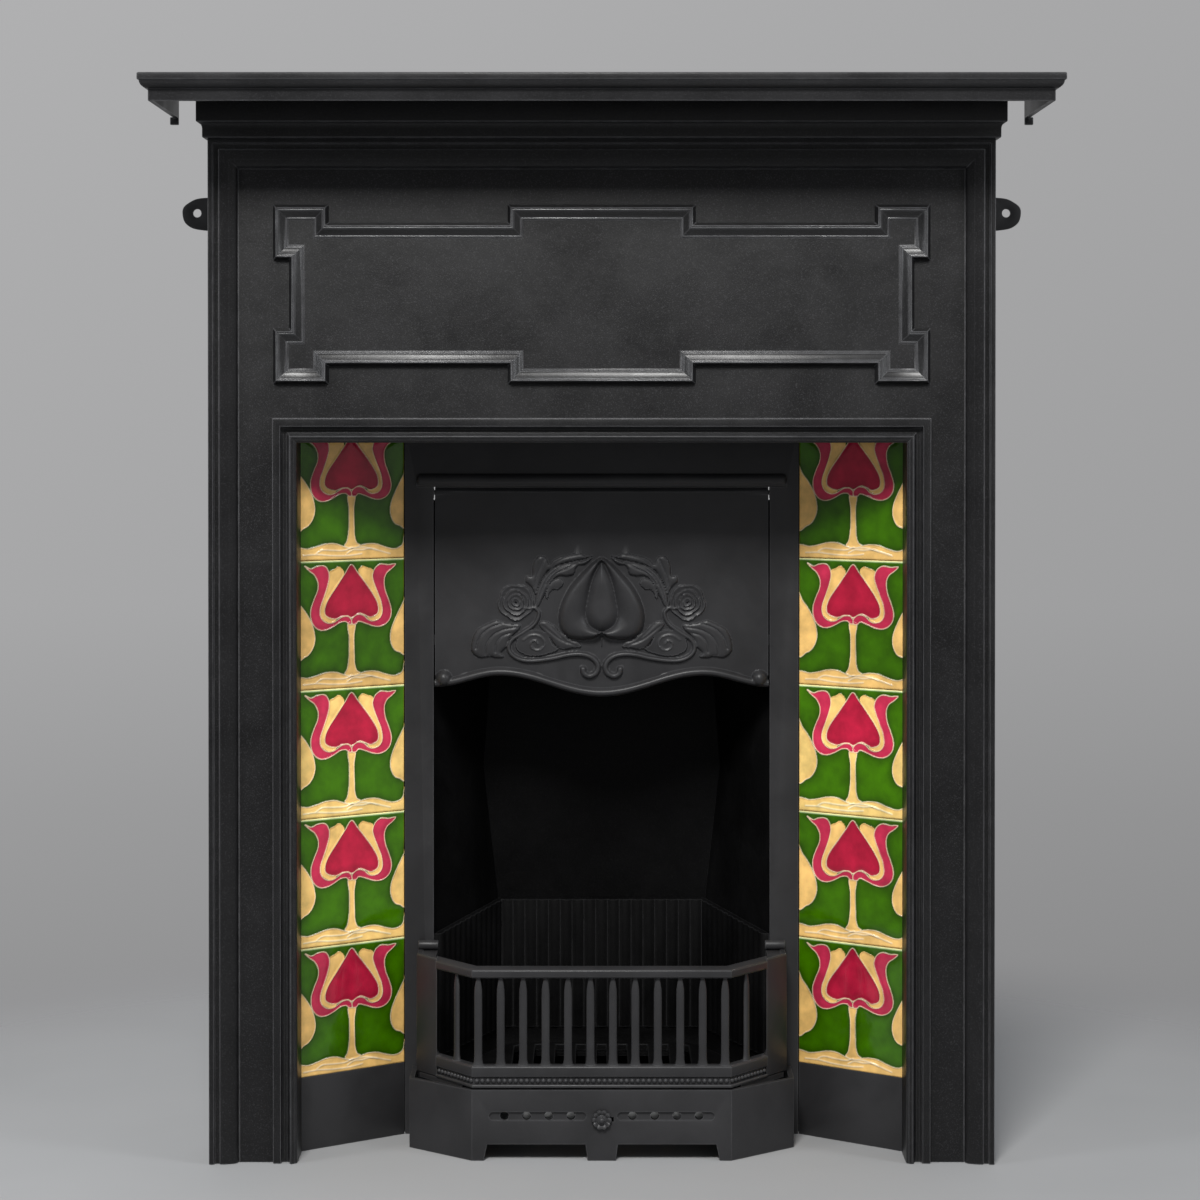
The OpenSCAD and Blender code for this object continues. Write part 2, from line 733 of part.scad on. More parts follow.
module fireback() {
    placed(iron_worn) difference() {
        along_x(-back_half, back_half) polygon(concat(
            back_face, [for (i = [len(back_face) - 1:-1:0])
                        [min(back_face[i][0] + back_t + 1, rear_d), back_face[i][1]]]));
        mirrored() for (z = back_bolt_zs)
            translate([back_bolt_x, 0, z]) rod_y(bolt_hole_r, back_d - 1, rear_d + 1);
    }
}

module back_bolts() {
    placed(steel_grey) mirrored() for (z = back_bolt_zs) translate([back_bolt_x, 0, z]) {
        rod_y(bolt_r, back_d - iron - hex_t - 2, rear_d - 1);
        translate([0, back_d - iron, 0]) rotate([90, 0, 0]) hex_head();
    }
}

module throat_plate() {
    ear_x = flue_half_w - 14;
    placed(iron_worn) difference() {
        union() {
            upright(throat_z, throat_top) polygon([
                [-cheek_x(hinge_d + 9) - 8, hinge_d + 9], [cheek_x(hinge_d + 9) + 8, hinge_d + 9],
                [back_half, rear_d], [-back_half, rear_d]]);
            // ears for the flap's pin
            mirrored() {
                translate([0, flap_pin_d, throat_top + 7]) rod_x(6.5, ear_x, ear_x + iron);
                block(ear_x, ear_x + iron, flap_pin_d - 6.5, flap_pin_d + 6.5, throat_top - 1,
                      throat_top + 7);
            }
        }
        block(-flue_half_w, flue_half_w, flue_d0, flue_d0 + flue_d, throat_z - 1, throat_top + 0.01);
        translate([0, flap_pin_d, throat_top + 7])
            rod_x(flap_pin_r + pin_clear / 2, -flue_half_w, flue_half_w);
    }
}

module register_flap() {
    knuckle_x = flue_half_w - 16;
    flap_z = throat_top + rest_gap;
    placed(iron_worn) difference() {
        union() {
            block(-flue_half_w - 8, flue_half_w + 8, flue_d0 - 8, flap_pin_d - 8, flap_z, flap_z + 5);
            mirrored() {
                translate([0, flap_pin_d, throat_top + 7]) rod_x(6, knuckle_x - 14, knuckle_x);
                block(knuckle_x - 14, knuckle_x, flap_pin_d - 9, flap_pin_d, throat_top + 1.5,
                      throat_top + 9);
            }
            // nib that a poker lifts
            block(-14, 14, flue_d0 - 7, flue_d0 - 2, flap_z + 1, flap_z + 20);
        }
        translate([0, flap_pin_d, throat_top + 7])
            rod_x(flap_pin_r + pin_clear, -flue_half_w, flue_half_w);
    }
}

module register_pin() {
    placed(steel_grey) translate([0, flap_pin_d, throat_top + 7])
        rod_x(flap_pin_r, -flue_half_w + 4, flue_half_w - 4);
}

// ---------------------------------------------------------------- fire basket

liner_gap = 1;
liner_t = 6;
liner_front = insert_back + liner_gap;
liner_back = back_d - liner_gap - liner_t;
liner_back_half = cheek_x(liner_back) - across(liner_gap + liner_t);
function liner_in(d) = basket_half
    - (d - liner_front) * (basket_half - liner_back_half) / (liner_back - liner_front);
function liner_out(d) = liner_in(d) + across(liner_t);

// scallops standing in from the straight line between two points
function fluted(a, b, n) = let (dir = (b - a) / norm(b - a), inward = [-dir[1], dir[0]])
    [for (i = [0:4 * n - 1]) a + (b - a) * i / (4 * n) + inward * flute_deep * abs(sin(45 * i))];

module liner_outline(in_by) {
    polygon([[-liner_out(liner_front), liner_front], [-liner_in(liner_front) + in_by, liner_front],
             [-liner_in(liner_back) + in_by, liner_back - in_by],
             [liner_in(liner_back) - in_by, liner_back - in_by],
             [liner_in(liner_front) - in_by, liner_front], [liner_out(liner_front), liner_front],
             [liner_out(liner_back + liner_t), liner_back + liner_t],
             [-liner_out(liner_back + liner_t), liner_back + liner_t]]);
}

module fluted_outline() {
    right_front = [liner_in(liner_front), liner_front];
    right_back = [liner_in(liner_back), liner_back];
    left_back = [-right_back[0], liner_back];
    left_front = [-right_front[0], liner_front];
    side_n = round(norm(right_back - right_front) / flute_pitch);
    back_n = round(2 * right_back[0] / flute_pitch);
    polygon(concat(
        fluted(right_front, right_back, side_n), fluted(right_back, left_back, back_n),
        fluted(left_back, left_front, side_n),
        [left_front, [-liner_out(liner_front), liner_front],
         [-liner_out(liner_back + liner_t), liner_back + liner_t],
         [liner_out(liner_back + liner_t), liner_back + liner_t],
         [liner_out(liner_front), liner_front], right_front]));
}

module fire_basket() {
    rim_slope = atan(rim_rise / (liner_back - liner_front));
    placed(iron_worn) {
        upright(basket_z, flute_z) liner_outline(0);
        upright(basket_z, basket_z + iron) liner_outline(ledge_w);
        difference() {
            upright(flute_z - 1, rim_z + rim_rise + 10) fluted_outline();
            translate([-back_half * 2, liner_front, rim_z]) rotate([rim_slope, 0, 0])
                translate([0, -20, 0]) cube([back_half * 4, chamber_d + 60, 60]);
        }
    }
}

grate_z = basket_z + iron + rest_gap;
bars_slope = (bars_end_d - bars_front_d) / (bars_end - bars_front);

// half width of the grate at its front, waist and back, each clear of what stands round it
function grate_outline(k) = let (
    front = bars_front_d + rail_t + 3 + k, waist_x = liner_in(liner_front) - flute_deep - 8 - k,
    front_x = bars_front - 8 - k,
    waist_d = front + (waist_x - front_x) * bars_slope,
    back = liner_back - flute_deep - 3 - k, back_x = liner_in(back) - flute_deep - 4 - k, nose = 16)
    [[-front_x, front], [front_x, front], [waist_x, waist_d], [waist_x, liner_front + 6],
     [back_x, back - nose], [back_x - nose, back], [nose - back_x, back], [-back_x, back - nose],
     [-waist_x, liner_front + 6], [-waist_x, waist_d]];

module bottom_grate() {
    columns = floor((bars_front - 29) / slot_pitch);
    cross_bar = liner_front + 12;
    placed(iron_worn) {
        upright(grate_z, grate_z + grate_t) difference() {
            polygon(grate_outline(0));
            intersection() {
                polygon(grate_outline(12));
                for (i = [-columns:columns]) {
                    translate([i * slot_pitch - slot_w / 2, 0]) square([slot_w, cross_bar]);
                    translate([i * slot_pitch - slot_w / 2, cross_bar + 12])
                        square([slot_w, chamber_d + 60]);
                }
            }
        }
        // two front feet, hidden behind the cover's ends, carry the grate to the floor
        mirrored() translate([foot_end + 14, bars_front_d + rail_t + 28, 0])
            cylinder(r = 7, h = grate_z + 1);
    }
}

// ---------------------------------------------------------------- front bars

// plan band of even thickness along the front, cants and returns, k in from the outer line
function bay_points(front, front_d, end, end_d, k) =
    let (dir = unit([end - front, end_d - front_d]), off = [-dir[1], dir[0]] * k,
         corner_x = front - k * tan((90 - atan(dir[0] / dir[1])) / 2),
         joint_d = end_d + k * tan(atan(dir[0] / dir[1]) / 2))
    [[corner_x, front_d + k], [end - k, joint_d], [end - k, insert_d - rest_gap]];

module bay_band(front, front_d, end, end_d, k0, k1) {
    outer = bay_points(front, front_d, end, end_d, k0);
    inner = bay_points(front, front_d, end, end_d, k1);
    polygon(concat([for (i = [2:-1:0]) [-outer[i][0], outer[i][1]]], outer,
                   [for (i = [2:-1:0]) inner[i]], [for (p = inner) [-p[0], p[1]]]));
}

function bar_spot(x) = let (mid = rail_t / 2)
    [x, bars_front_d + mid + max(0, abs(x) - bars_front + mid * 0.4) * bars_slope];

module bars_band(k0, k1) { bay_band(bars_front, bars_front_d, bars_end, bars_end_d, k0, k1); }

// a rail along the front and the cants, ending where the returns begin
module rail(z0, z1, k0, k1) {
    intersection() {
        upright(z0, z1) bars_band(k0, k1);
        block(-bars_end, bars_end, 0, bars_end_d - 2, z0 - 1, z1 + 1);
    }
}

module front_bars() {
    bead_z = bars_z + 4;
    bead_h = 5;
    placed(iron_worn) {
        rail(bars_top - rail_h, bars_top, 0, rail_t);
        rail(bead_z + bead_h + 2, bars_z + sill_h, 0, rail_t);
        rail(bead_z, bead_z + bead_h + 3, 2.5, rail_t - 1);
        rail(bars_z, bead_z, 0.5, rail_t);
        // plain stiles and returns at both ends
        intersection() {
            upright(bars_z, bars_top) bars_band(1, return_t);
            union() mirrored()
                block(bars_end - stile_w, bars_end + 5, 0, insert_d, bars_z, bars_top);
        }
        for (i = [0:bar_count - 1]) {
            spot = bar_spot((i - (bar_count - 1) / 2) * bar_pitch);
            translate([spot[0], spot[1], bars_z + sill_h - 1])
                cylinder(r = bar_r, h = bars_top - rail_h - bars_z - sill_h - 8);
            translate([spot[0], spot[1], bars_top - rail_h - 9.5])
                cylinder(r1 = bar_r, r2 = bar_r * 0.55, h = 10);
        }
        // rolled hooks that drop over the lugs on the jambs
        mirrored() {
            translate([0, hook_d, hook_z]) rod_x(hook_r, hook_x0, hook_x1);
            block(hook_x0, hook_x1, hook_d - 0.5, insert_d - rest_gap - 3, hook_lug_z - 9, hook_z);
            block(lug_x1 + loose, hook_x1, hook_d - 4, insert_d - rest_gap - 3, bars_top - 8, hook_z);
        }
    }
}

// ---------------------------------------------------------------- ash cover

slide_t = 3;
slide_d = cover_front_d + iron + rest_gap;
slide_x0 = -(air_first + 3 * air_pitch + air_r + damper_travel + 2);
slide_x1 = air_first + 3 * air_pitch + air_r + 7;
slide_z0 = air_z - 9;
slide_z1 = air_z + 9;
stem_r = 2.5;
guide_t = 4;
guide_x = air_first + 2.5 * air_pitch - 3.5;
air_xs = [for (i = [0:3]) air_first + i * air_pitch];
air_slot_deep = 2.5;

module cover_band(k0, k1) { bay_band(cover_front, cover_front_d, cover_end, cover_end_d, k0, k1); }

module ash_cover() {
    slot_x0 = air_xs[0] - air_pitch / 2 - air_r;
    slot_x1 = air_xs[3] + air_pitch / 2 + air_r;
    placed(iron_black) difference() {
        upright(0, cover_h) cover_band(0, iron);
        mirrored() {
            // openings at the floor
            block(foot_half_w, foot_end, 0, cover_front_d + iron + 1, -1, foot_h);
            // one long sunk panel on each side, with a row of round air holes through it
            translate([0, 0, air_z]) {
                block(slot_x0 + air_r, slot_x1 - air_r, 0, cover_front_d + air_slot_deep, -air_r, air_r);
                for (x = [slot_x0 + air_r, slot_x1 - air_r])
                    translate([x, 0, 0]) rod_y(air_r, 0, cover_front_d + air_slot_deep);
                for (x = air_xs) translate([x, 0, 0]) rod_y(air_r, 0, cover_front_d + iron + 1);
            }
        }
        // slot for the knob's stem
        block(-stem_r - 0.5, damper_travel + stem_r + 0.5, 0, cover_front_d + iron + 1,
              knob_z - stem_r - 0.5, knob_z + stem_r + 0.5);
    }
}

module damper_slide() {
    placed(iron_worn) difference() {
        block(slide_x0, slide_x1, slide_d, slide_d + slide_t, slide_z0, slide_z1);
        mirrored() for (x = air_xs)
            translate([x, 0, air_z]) rod_y(air_r, slide_d - 1, slide_d + slide_t + 1);
        translate([0, 0, knob_z]) rod_y(stem_r + pin_clear / 2, slide_d - 1, slide_d + slide_t + 1);
    }
}

module damper_knob() {
    petals = 10;
    petal_r = 0.22 * knob_r;
    placed(iron_worn) translate([0, 0, knob_z]) {
        rod_y(stem_r, cover_front_d - 3, slide_d + slide_t);
        rod_y(knob_r - 0.6 * petal_r, cover_front_d - 3.5, cover_front_d - rest_gap);
        for (i = [0:petals - 1]) rotate([0, 360 * i / petals, 0])
            translate([knob_r - petal_r, 0, 0])
                rod_y(petal_r, cover_front_d - 5, cover_front_d - 3);
        rod_y(3.5, cover_front_d - 7, cover_front_d - 3.2);
    }
}

// keepers riveted behind the cover, above and below the slide
module slide_guides() {
    placed(steel_grey) for (x = [-guide_x, guide_x]) {
        for (z = [slide_z0 - rest_gap - 6, slide_z1 + rest_gap])
            block(x - 6, x + 6, cover_front_d + iron, slide_d + slide_t + rest_gap, z, z + 6);
        block(x - 6, x + 6, slide_d + slide_t + rest_gap, slide_d + slide_t + rest_gap + guide_t,
              slide_z0 - rest_gap - 6, slide_z1 + rest_gap + 6);
    }
}

// ---------------------------------------------------------------- assembly

surround();
mantel_shelf();
shelf_bolts();
tile_tray("left");  // tile_tray_left
tile_tray("right");  // tile_tray_right
for (side = SIDES, n = [1:TILES_UP])
    tile_one(side, n);
insert_plate();
soffit_plate();
hood();
hood_pins();
cheek("left");  // left_cheek
cheek("right");  // right_cheek
fireback();
throat_plate();
register_flap();
register_pin();
fire_basket();
bottom_grate();
front_bars();
ash_cover();
damper_slide();
damper_knob();
slide_guides();
tray_bolts();
frame_nuts();
back_bolts();
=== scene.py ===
"""Looks of a cast iron tiled fireplace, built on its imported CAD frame."""

import math

import bmesh
import bpy
import numpy as np
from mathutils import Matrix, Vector


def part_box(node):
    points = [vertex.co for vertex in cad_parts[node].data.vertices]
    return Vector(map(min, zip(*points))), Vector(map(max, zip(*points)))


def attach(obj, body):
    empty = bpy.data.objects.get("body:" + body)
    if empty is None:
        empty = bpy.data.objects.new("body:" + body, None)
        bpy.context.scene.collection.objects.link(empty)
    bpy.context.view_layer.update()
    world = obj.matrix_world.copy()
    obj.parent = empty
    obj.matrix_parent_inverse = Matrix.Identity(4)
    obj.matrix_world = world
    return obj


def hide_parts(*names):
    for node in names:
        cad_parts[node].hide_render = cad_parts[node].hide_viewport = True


bl_info = {
    "name": "Cast Iron Tiled Fireplace",
    "version": (1, 0, 0),
    "blender": (4, 5, 0),
    "location": "View3D > Sidebar > Fireplace",
    "description": "Builds the looks of a cast iron tiled fireplace on its packed frame",
    "category": "Add Mesh",
}

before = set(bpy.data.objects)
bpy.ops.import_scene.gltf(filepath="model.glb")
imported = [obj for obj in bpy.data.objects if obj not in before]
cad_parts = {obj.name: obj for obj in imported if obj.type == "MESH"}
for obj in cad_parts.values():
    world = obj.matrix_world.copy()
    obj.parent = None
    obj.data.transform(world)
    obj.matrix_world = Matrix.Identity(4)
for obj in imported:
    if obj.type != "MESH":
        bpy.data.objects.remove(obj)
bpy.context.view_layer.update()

# ------------------------------------------------------------------ measures of the frame
# Millimetres. X runs along the wall, d counts back from the front of the pilasters, z is up.
# Names in _D are such depths, names in _HALF are distances from the middle.
MM = 0.001


def box_mm(node):
    """Lowest and highest corner of a CAD node in millimetres, y as the frame has it."""
    low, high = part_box(node)
    return [v * 1000 for v in low], [v * 1000 for v in high]


SHELF_LOW, SHELF_HIGH = box_mm("mantel_shelf")
TILE_LOW = box_mm("tile_right_1")[0]
# how far the shelf stands out over the pilasters, and where it sits on the cornice
SHELF_PROJECTION = 125.0
SHELF_SEAT = 1247.6
FRONT_Y = SHELF_LOW[1] + SHELF_PROJECTION
WALL_D = SHELF_HIGH[1] - FRONT_Y
TOTAL_TOP = SHELF_HIGH[2]
# thickness of the castings, and the flat of the header
WALL = 6.0
FIELD_D = 12.0
BODY_HALF = 457.0
BODY_TOP = 1193.0
OPENING_HALF = 355.0
OPENING_TOP = 840.0
TRAY_TOP = 858.2
# tiles with their joint, over the plinths, on panels that turn in by the splay
TILE_SIDE = 152.4
TILE_PITCH = 153.2
PLINTH_TOP = 87.0
SPLAY = math.radians(36.7)
TILE_X = TILE_LOW[0] + TILE_SIDE * math.cos(SPLAY)
TILE_D = TILE_LOW[1] - FRONT_Y
INSERT_D = TILE_D + TILE_SIDE * math.sin(SPLAY)
HINGE_Z = 778.0
HINGE_D = INSERT_D + 10
RIDGE_Z = 793.5
# seven turns of a quarter circle, for coves and hollows
QUARTER_TURN = [math.radians(15 * i) for i in range(7)]
# farther than any two points of the part
FAR = 1e9


def at(x, d, z):
    """A point given in millimetres, its depth counted from the front of the pilasters."""
    return Vector((x * MM, (d + FRONT_Y) * MM, z * MM))


# ------------------------------------------------------------------ small tools for modelling
def deselect_all():
    """Leaves edit mode and deselects everything."""
    if bpy.context.mode != "OBJECT":
        bpy.ops.object.mode_set(mode="OBJECT")
    bpy.ops.object.select_all(action="DESELECT")


def only(obj):
    """Makes an object the only selected one and the active one."""
    deselect_all()
    obj.select_set(True)
    bpy.context.view_layer.objects.active = obj


def edit(obj):
    """Takes an object into edit mode and gives its mesh."""
    only(obj)
    bpy.ops.object.mode_set(mode="EDIT")
    return bmesh.from_edit_mesh(obj.data)


def named(name):
    """The object that was just added, under its name."""
    obj = bpy.context.object
    obj.name = obj.data.name = name
    return obj


def select_where(obj, kind, test):
    """Selects the faces or edges of the mesh in edit mode that pass a test."""
    bpy.ops.mesh.select_all(action="DESELECT")
    bpy.ops.mesh.select_mode(type={"faces": "FACE", "edges": "EDGE"}[kind])
    bm = bmesh.from_edit_mesh(obj.data)
    for part in getattr(bm, kind):
        if test(part):
            part.select_set(True)
    bm.select_flush_mode()
    bmesh.update_edit_mesh(obj.data)


def place_loop(obj, points):
    """Moves the selected loop's vertices to the given points, each by its number in the loop."""
    bm = bmesh.from_edit_mesh(obj.data)
    tag = bm.verts.layers.int["loop"]
    for v in bm.verts:
        if v.select:
            v.co = points[v[tag]]
    bmesh.update_edit_mesh(obj.data)


def swept(name, loops, closed=False):
    """A solid drawn out from loop to loop, as a moulding is; a closed one ends where it began."""
    count = len(loops[0])
    deselect_all()
    bpy.ops.mesh.primitive_circle_add(vertices=count, radius=0.05, fill_type="NGON")
    obj = named(name)
    bm = edit(obj)
    tag = bm.verts.layers.int.new("loop")
    for i, v in enumerate(bm.verts):
        v[tag] = i
    bmesh.update_edit_mesh(obj.data)
    bpy.ops.mesh.select_all(action="SELECT")
    place_loop(obj, loops[0])
    for points in loops[1:] + (loops[:1] if closed else []):
        bpy.ops.mesh.extrude_region_move()
        place_loop(obj, points)
    if closed:
        bm = bmesh.from_edit_mesh(obj.data)
        tag = bm.verts.layers.int["loop"]
        select_where(obj, "faces", lambda f: len({v[tag] for v in f.verts}) == count)
        bpy.ops.mesh.delete(type="ONLY_FACE")
    tidy_mesh(obj)
    obj.data.attributes.remove(obj.data.attributes["loop"])
    return obj


def tidy_mesh(obj, merge=2e-6):
    """Merges doubles and turns the faces outwards; leaves object mode."""
    if bpy.context.mode != "EDIT_MESH":
        edit(obj)
    bpy.ops.mesh.select_mode(type="VERT")
    bpy.ops.mesh.select_all(action="SELECT")
    bpy.ops.mesh.remove_doubles(threshold=merge)
    bpy.ops.mesh.normals_make_consistent(inside=False)
    bpy.ops.object.mode_set(mode="OBJECT")


def cut_off(obj, point, normal):
    """Cuts away what lies beyond a plane, on the side its normal points to, and closes the cut."""
    edit(obj)
    bpy.ops.mesh.select_all(action="SELECT")
    bpy.ops.mesh.bisect(plane_co=point, plane_no=normal, use_fill=True, clear_outer=True)
    tidy_mesh(obj)


def round_arrises(obj, radius, segments=2, angle=30):
    """Rounds the edges as on a casting, and applies it."""
    only(obj)
    bevel = obj.modifiers.new("Arris", "BEVEL")
    bevel.width = radius
    bevel.segments = segments
    bevel.limit_method = "ANGLE"
    bevel.angle_limit = math.radians(angle)
    bevel.use_clamp_overlap = True
    bpy.ops.object.modifier_apply(modifier=bevel.name)


def joined(name, pieces):
    """Joins pieces into the first of them."""
    deselect_all()
    for p in pieces:
        p.select_set(True)
    bpy.context.view_layer.objects.active = pieces[0]
    bpy.ops.object.join()
    pieces[0].name = pieces[0].data.name = name
    return pieces[0]


def apply_place(obj):
    """Puts an object's place, turn and scale into its mesh."""
    only(obj)
    bpy.ops.object.transform_apply(location=True, rotation=True, scale=True)


def copy_of(obj, name, moved):
    """A copy with its own mesh, every vertex moved by a function."""
    twin = bpy.data.objects.new(name, obj.data.copy())
    bpy.context.scene.collection.objects.link(twin)
    for v in twin.data.vertices:
        v.co = moved(v.co)
    return twin


def dress(obj, body, material, smooth=32, nodes=()):
    """Last touches: smooth shading, finish, body, slot and the CAD nodes it stands for."""
    only(obj)
    bpy.ops.object.shade_smooth_by_angle(angle=math.radians(smooth))
    obj.data.materials.clear()
    obj.data.materials.append(bpy.data.materials[material])
    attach(obj, body)
    if nodes:
        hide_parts(*nodes)


def casting_from(node, name, arris, segments=2, angle=30):
    """A piece on the lines of a CAD node: merged, its flats joined and its arrises rounded."""
    piece = bpy.data.objects.new(name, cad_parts[node].data.copy())
    bpy.context.scene.collection.objects.link(piece)
    edit(piece)
    bpy.ops.mesh.select_all(action="SELECT")
    bpy.ops.mesh.remove_doubles(threshold=5e-6)
    bpy.ops.mesh.dissolve_limited(angle_limit=math.radians(0.4))
    tidy_mesh(piece)
    if arris:
        round_arrises(piece, arris, segments, angle)
    return piece


def finish_node(node, material):
    """Gives a CAD node that stays in view its own finish."""
    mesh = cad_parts[node].data
    mesh.materials.clear()
    mesh.materials.append(bpy.data.materials[material])


def rod(name, start, end, radius, vertices, arris=0.0):
    """A round rod between two points, closed at both ends."""
    deselect_all()
    axis = end - start
    bpy.ops.mesh.primitive_cylinder_add(vertices=vertices, radius=radius, depth=axis.length,
                                        location=(start + end) / 2,
                                        rotation=axis.to_track_quat("Z", "Y").to_euler())
    obj = named(name)
    apply_place(obj)
    if arris:
        round_arrises(obj, arris, 3)
    return obj


def block(name, x0, x1, d0, d1, z0, z1, arris=0.0):
    """A block between limits in millimetres."""
    deselect_all()
    low, high = at(x0, d0, z0), at(x1, d1, z1)
    bpy.ops.mesh.primitive_cube_add(size=1, location=(low + high) / 2)
    obj = named(name)
    obj.scale = high - low
    apply_place(obj)
    if arris:
        round_arrises(obj, arris, 2)
    return obj


# ------------------------------------------------------------------ curves and reliefs
def flowing(points, closed=False, steps=6):
    """A smooth line through given points."""
    p = np.array(points, float)
    n = len(p)
    out = []
    for i in range(n if closed else n - 1):
        a, b = p[i], p[(i + 1) % n]
        before = p[(i - 1) % n] if closed or i > 0 else 2 * a - b
        after = p[(i + 2) % n] if closed or i + 2 < n else 2 * b - a
        for k in range(steps):
            t = k / steps
            bend = 2 * before - 5 * a + 4 * b - after
            swing = 3 * a - before - 3 * b + after
            out.append(0.5 * (2 * a + (b - before) * t + bend * t ** 2 + swing * t ** 3))
    if not closed:
        out.append(p[-1])
    return np.array(out)


def near_line(points, line, closed=False):
    """Distance from each point to a line, how far along it that is, and the nearest point."""
    best = np.full(len(points), FAR)
    along = np.zeros(len(points))
    spot = np.zeros((len(points), 2))
    ends = np.roll(line, -1, 0) if closed else line[1:]
    starts = line if closed else line[:-1]
    total = len(starts)
    for i, (a, b) in enumerate(zip(starts, ends)):
        ab = b - a
        size = max(float(ab @ ab), 1e-12)
        t = np.clip(((points - a) @ ab) / size, 0, 1)
        foot = a + t[:, None] * ab
        away = np.hypot(*(points - foot).T)
        closer = away < best
        best[closer] = away[closer]
        along[closer] = (i + t[closer]) / total
        spot[closer] = foot[closer]
    return best, along, spot


def within(points, outline):
    """Which points lie inside a closed outline."""
    x, y = points.T
    inside = np.zeros(len(points), bool)
    for (ax, ay), (bx, by) in zip(outline, np.roll(outline, -1, 0)):
        if ay == by:
            continue
        crosses = ((ay > y) != (by > y)) & (x < (bx - ax) * (y - ay) / (by - ay) + ax)
        inside ^= crosses
    return inside


def bell(away, width):
    """1 on a line, falling off softly to both sides of it."""
    return np.exp(-(away / width) ** 2)


def dome(away, radius):
    """1 in the middle, falling off as a ball does to nothing at its radius."""
    return np.sqrt(np.clip(1 - (away / radius) ** 2, 0, 1))


def pillow(points, outline, height, swell):
    """A soft raised field inside an outline."""
    away = near_line(points, outline, True)[0]
    return np.where(within(points, outline), height * (1 - np.exp(-away / swell)), 0.0)


def stem(points, line, thin, thick, height):
    """A half-round stem along a line, its half width going from thin to thick."""
    away, along, _ = near_line(points, line)
    return height * (0.6 + 0.4 * along) * dome(away, thin + (thick - thin) * along)


def sheet_of_grid(name, columns, rows):
    """A flat grid, with each vertex's column and row."""
    deselect_all()
    bpy.ops.mesh.primitive_grid_add(x_subdivisions=columns, y_subdivisions=rows, size=1)
    obj = named(name)
    co = np.zeros(len(obj.data.vertices) * 3)
    obj.data.vertices.foreach_get("co", co)
    across, up = (co.reshape(-1, 3)[:, :2] + 0.5).T
    return obj, np.rint(across * columns).astype(int), np.rint(up * rows).astype(int)


def set_points(obj, points):
    """Moves every vertex to its row of an array, in metres."""
    obj.data.vertices.foreach_set("co", np.asarray(points, np.float32).ravel())
    obj.data.update()


# ------------------------------------------------------------------ finishes
def linear(r, g, b):
    """A colour given as it looks on screen, 0 to 255."""
    return tuple((c / 255 / 12.92) if c / 255 <= 0.04045 else ((c / 255 + 0.055) / 1.055) ** 2.4
                 for c in (r, g, b)) + (1.0,)


def add_node(tree, kind, x, y, **settings):
    """A node at its place in the tree, with its settings."""
    node = tree.nodes.new(kind)
    node.location = (x, y)
    for key, value in settings.items():
        setattr(node, key, value)
    return node


def wire(tree, source, out, target, into):
    """Links two nodes by the names or numbers of their sockets."""
    tree.links.new(source.outputs[out], target.inputs[into])


def feed(tree, socket, value):
    """Gives an input a number, a colour, an output socket or a (node, output) pair."""
    if isinstance(value, tuple) and isinstance(value[0], bpy.types.Node):
        value = value[0].outputs[value[1]]
    if isinstance(value, bpy.types.NodeSocket):
        tree.links.new(value, socket)
    else:
        socket.default_value = value


def new_group(name, inputs, outputs):
    """A shader node group, with its inputs and their defaults, and its outputs."""
    tree = bpy.data.node_groups.new(name, "ShaderNodeTree")
    for label, value in inputs:
        socket = tree.interface.new_socket(label, in_out="INPUT", socket_type="NodeSocketFloat")
        socket.default_value = value
    for label in outputs:
        tree.interface.new_socket(label, in_out="OUTPUT", socket_type="NodeSocketFloat")
    given = add_node(tree, "NodeGroupInput", -900, 0)
    return tree, given, add_node(tree, "NodeGroupOutput", 700, 0)


def arithmetic(tree, kind, x, y, a, b, clamp=False):
    """A Math node on two numbers or outputs."""
    node = add_node(tree, "ShaderNodeMath", x, y, operation=kind, use_clamp=clamp)
    feed(tree, node.inputs[0], a)
    feed(tree, node.inputs[1], b)
    return node


def noise(tree, x, y, coords, scale, detail, rough, distortion=0.0):
    """A Noise Texture node; its scale is a number or an output."""
    node = add_node(tree, "ShaderNodeTexNoise", x, y)
    for label, value in (("Vector", coords), ("Scale", scale), ("Detail", detail),
                         ("Roughness", rough), ("Distortion", distortion)):
        feed(tree, node.inputs[label], value)
    return node


def map_range(tree, x, y, value, span=(0.0, 1.0), result=(0.0, 1.0), kind="LINEAR"):
    """The output of a Map Range node, from one span of values to another."""
    node = add_node(tree, "ShaderNodeMapRange", x, y, interpolation_type=kind)
    feed(tree, node.inputs["Value"], value)
    for label, limit in zip(("From Min", "From Max", "To Min", "To Max"), span + result):
        node.inputs[label].default_value = limit
    return node.outputs[0]


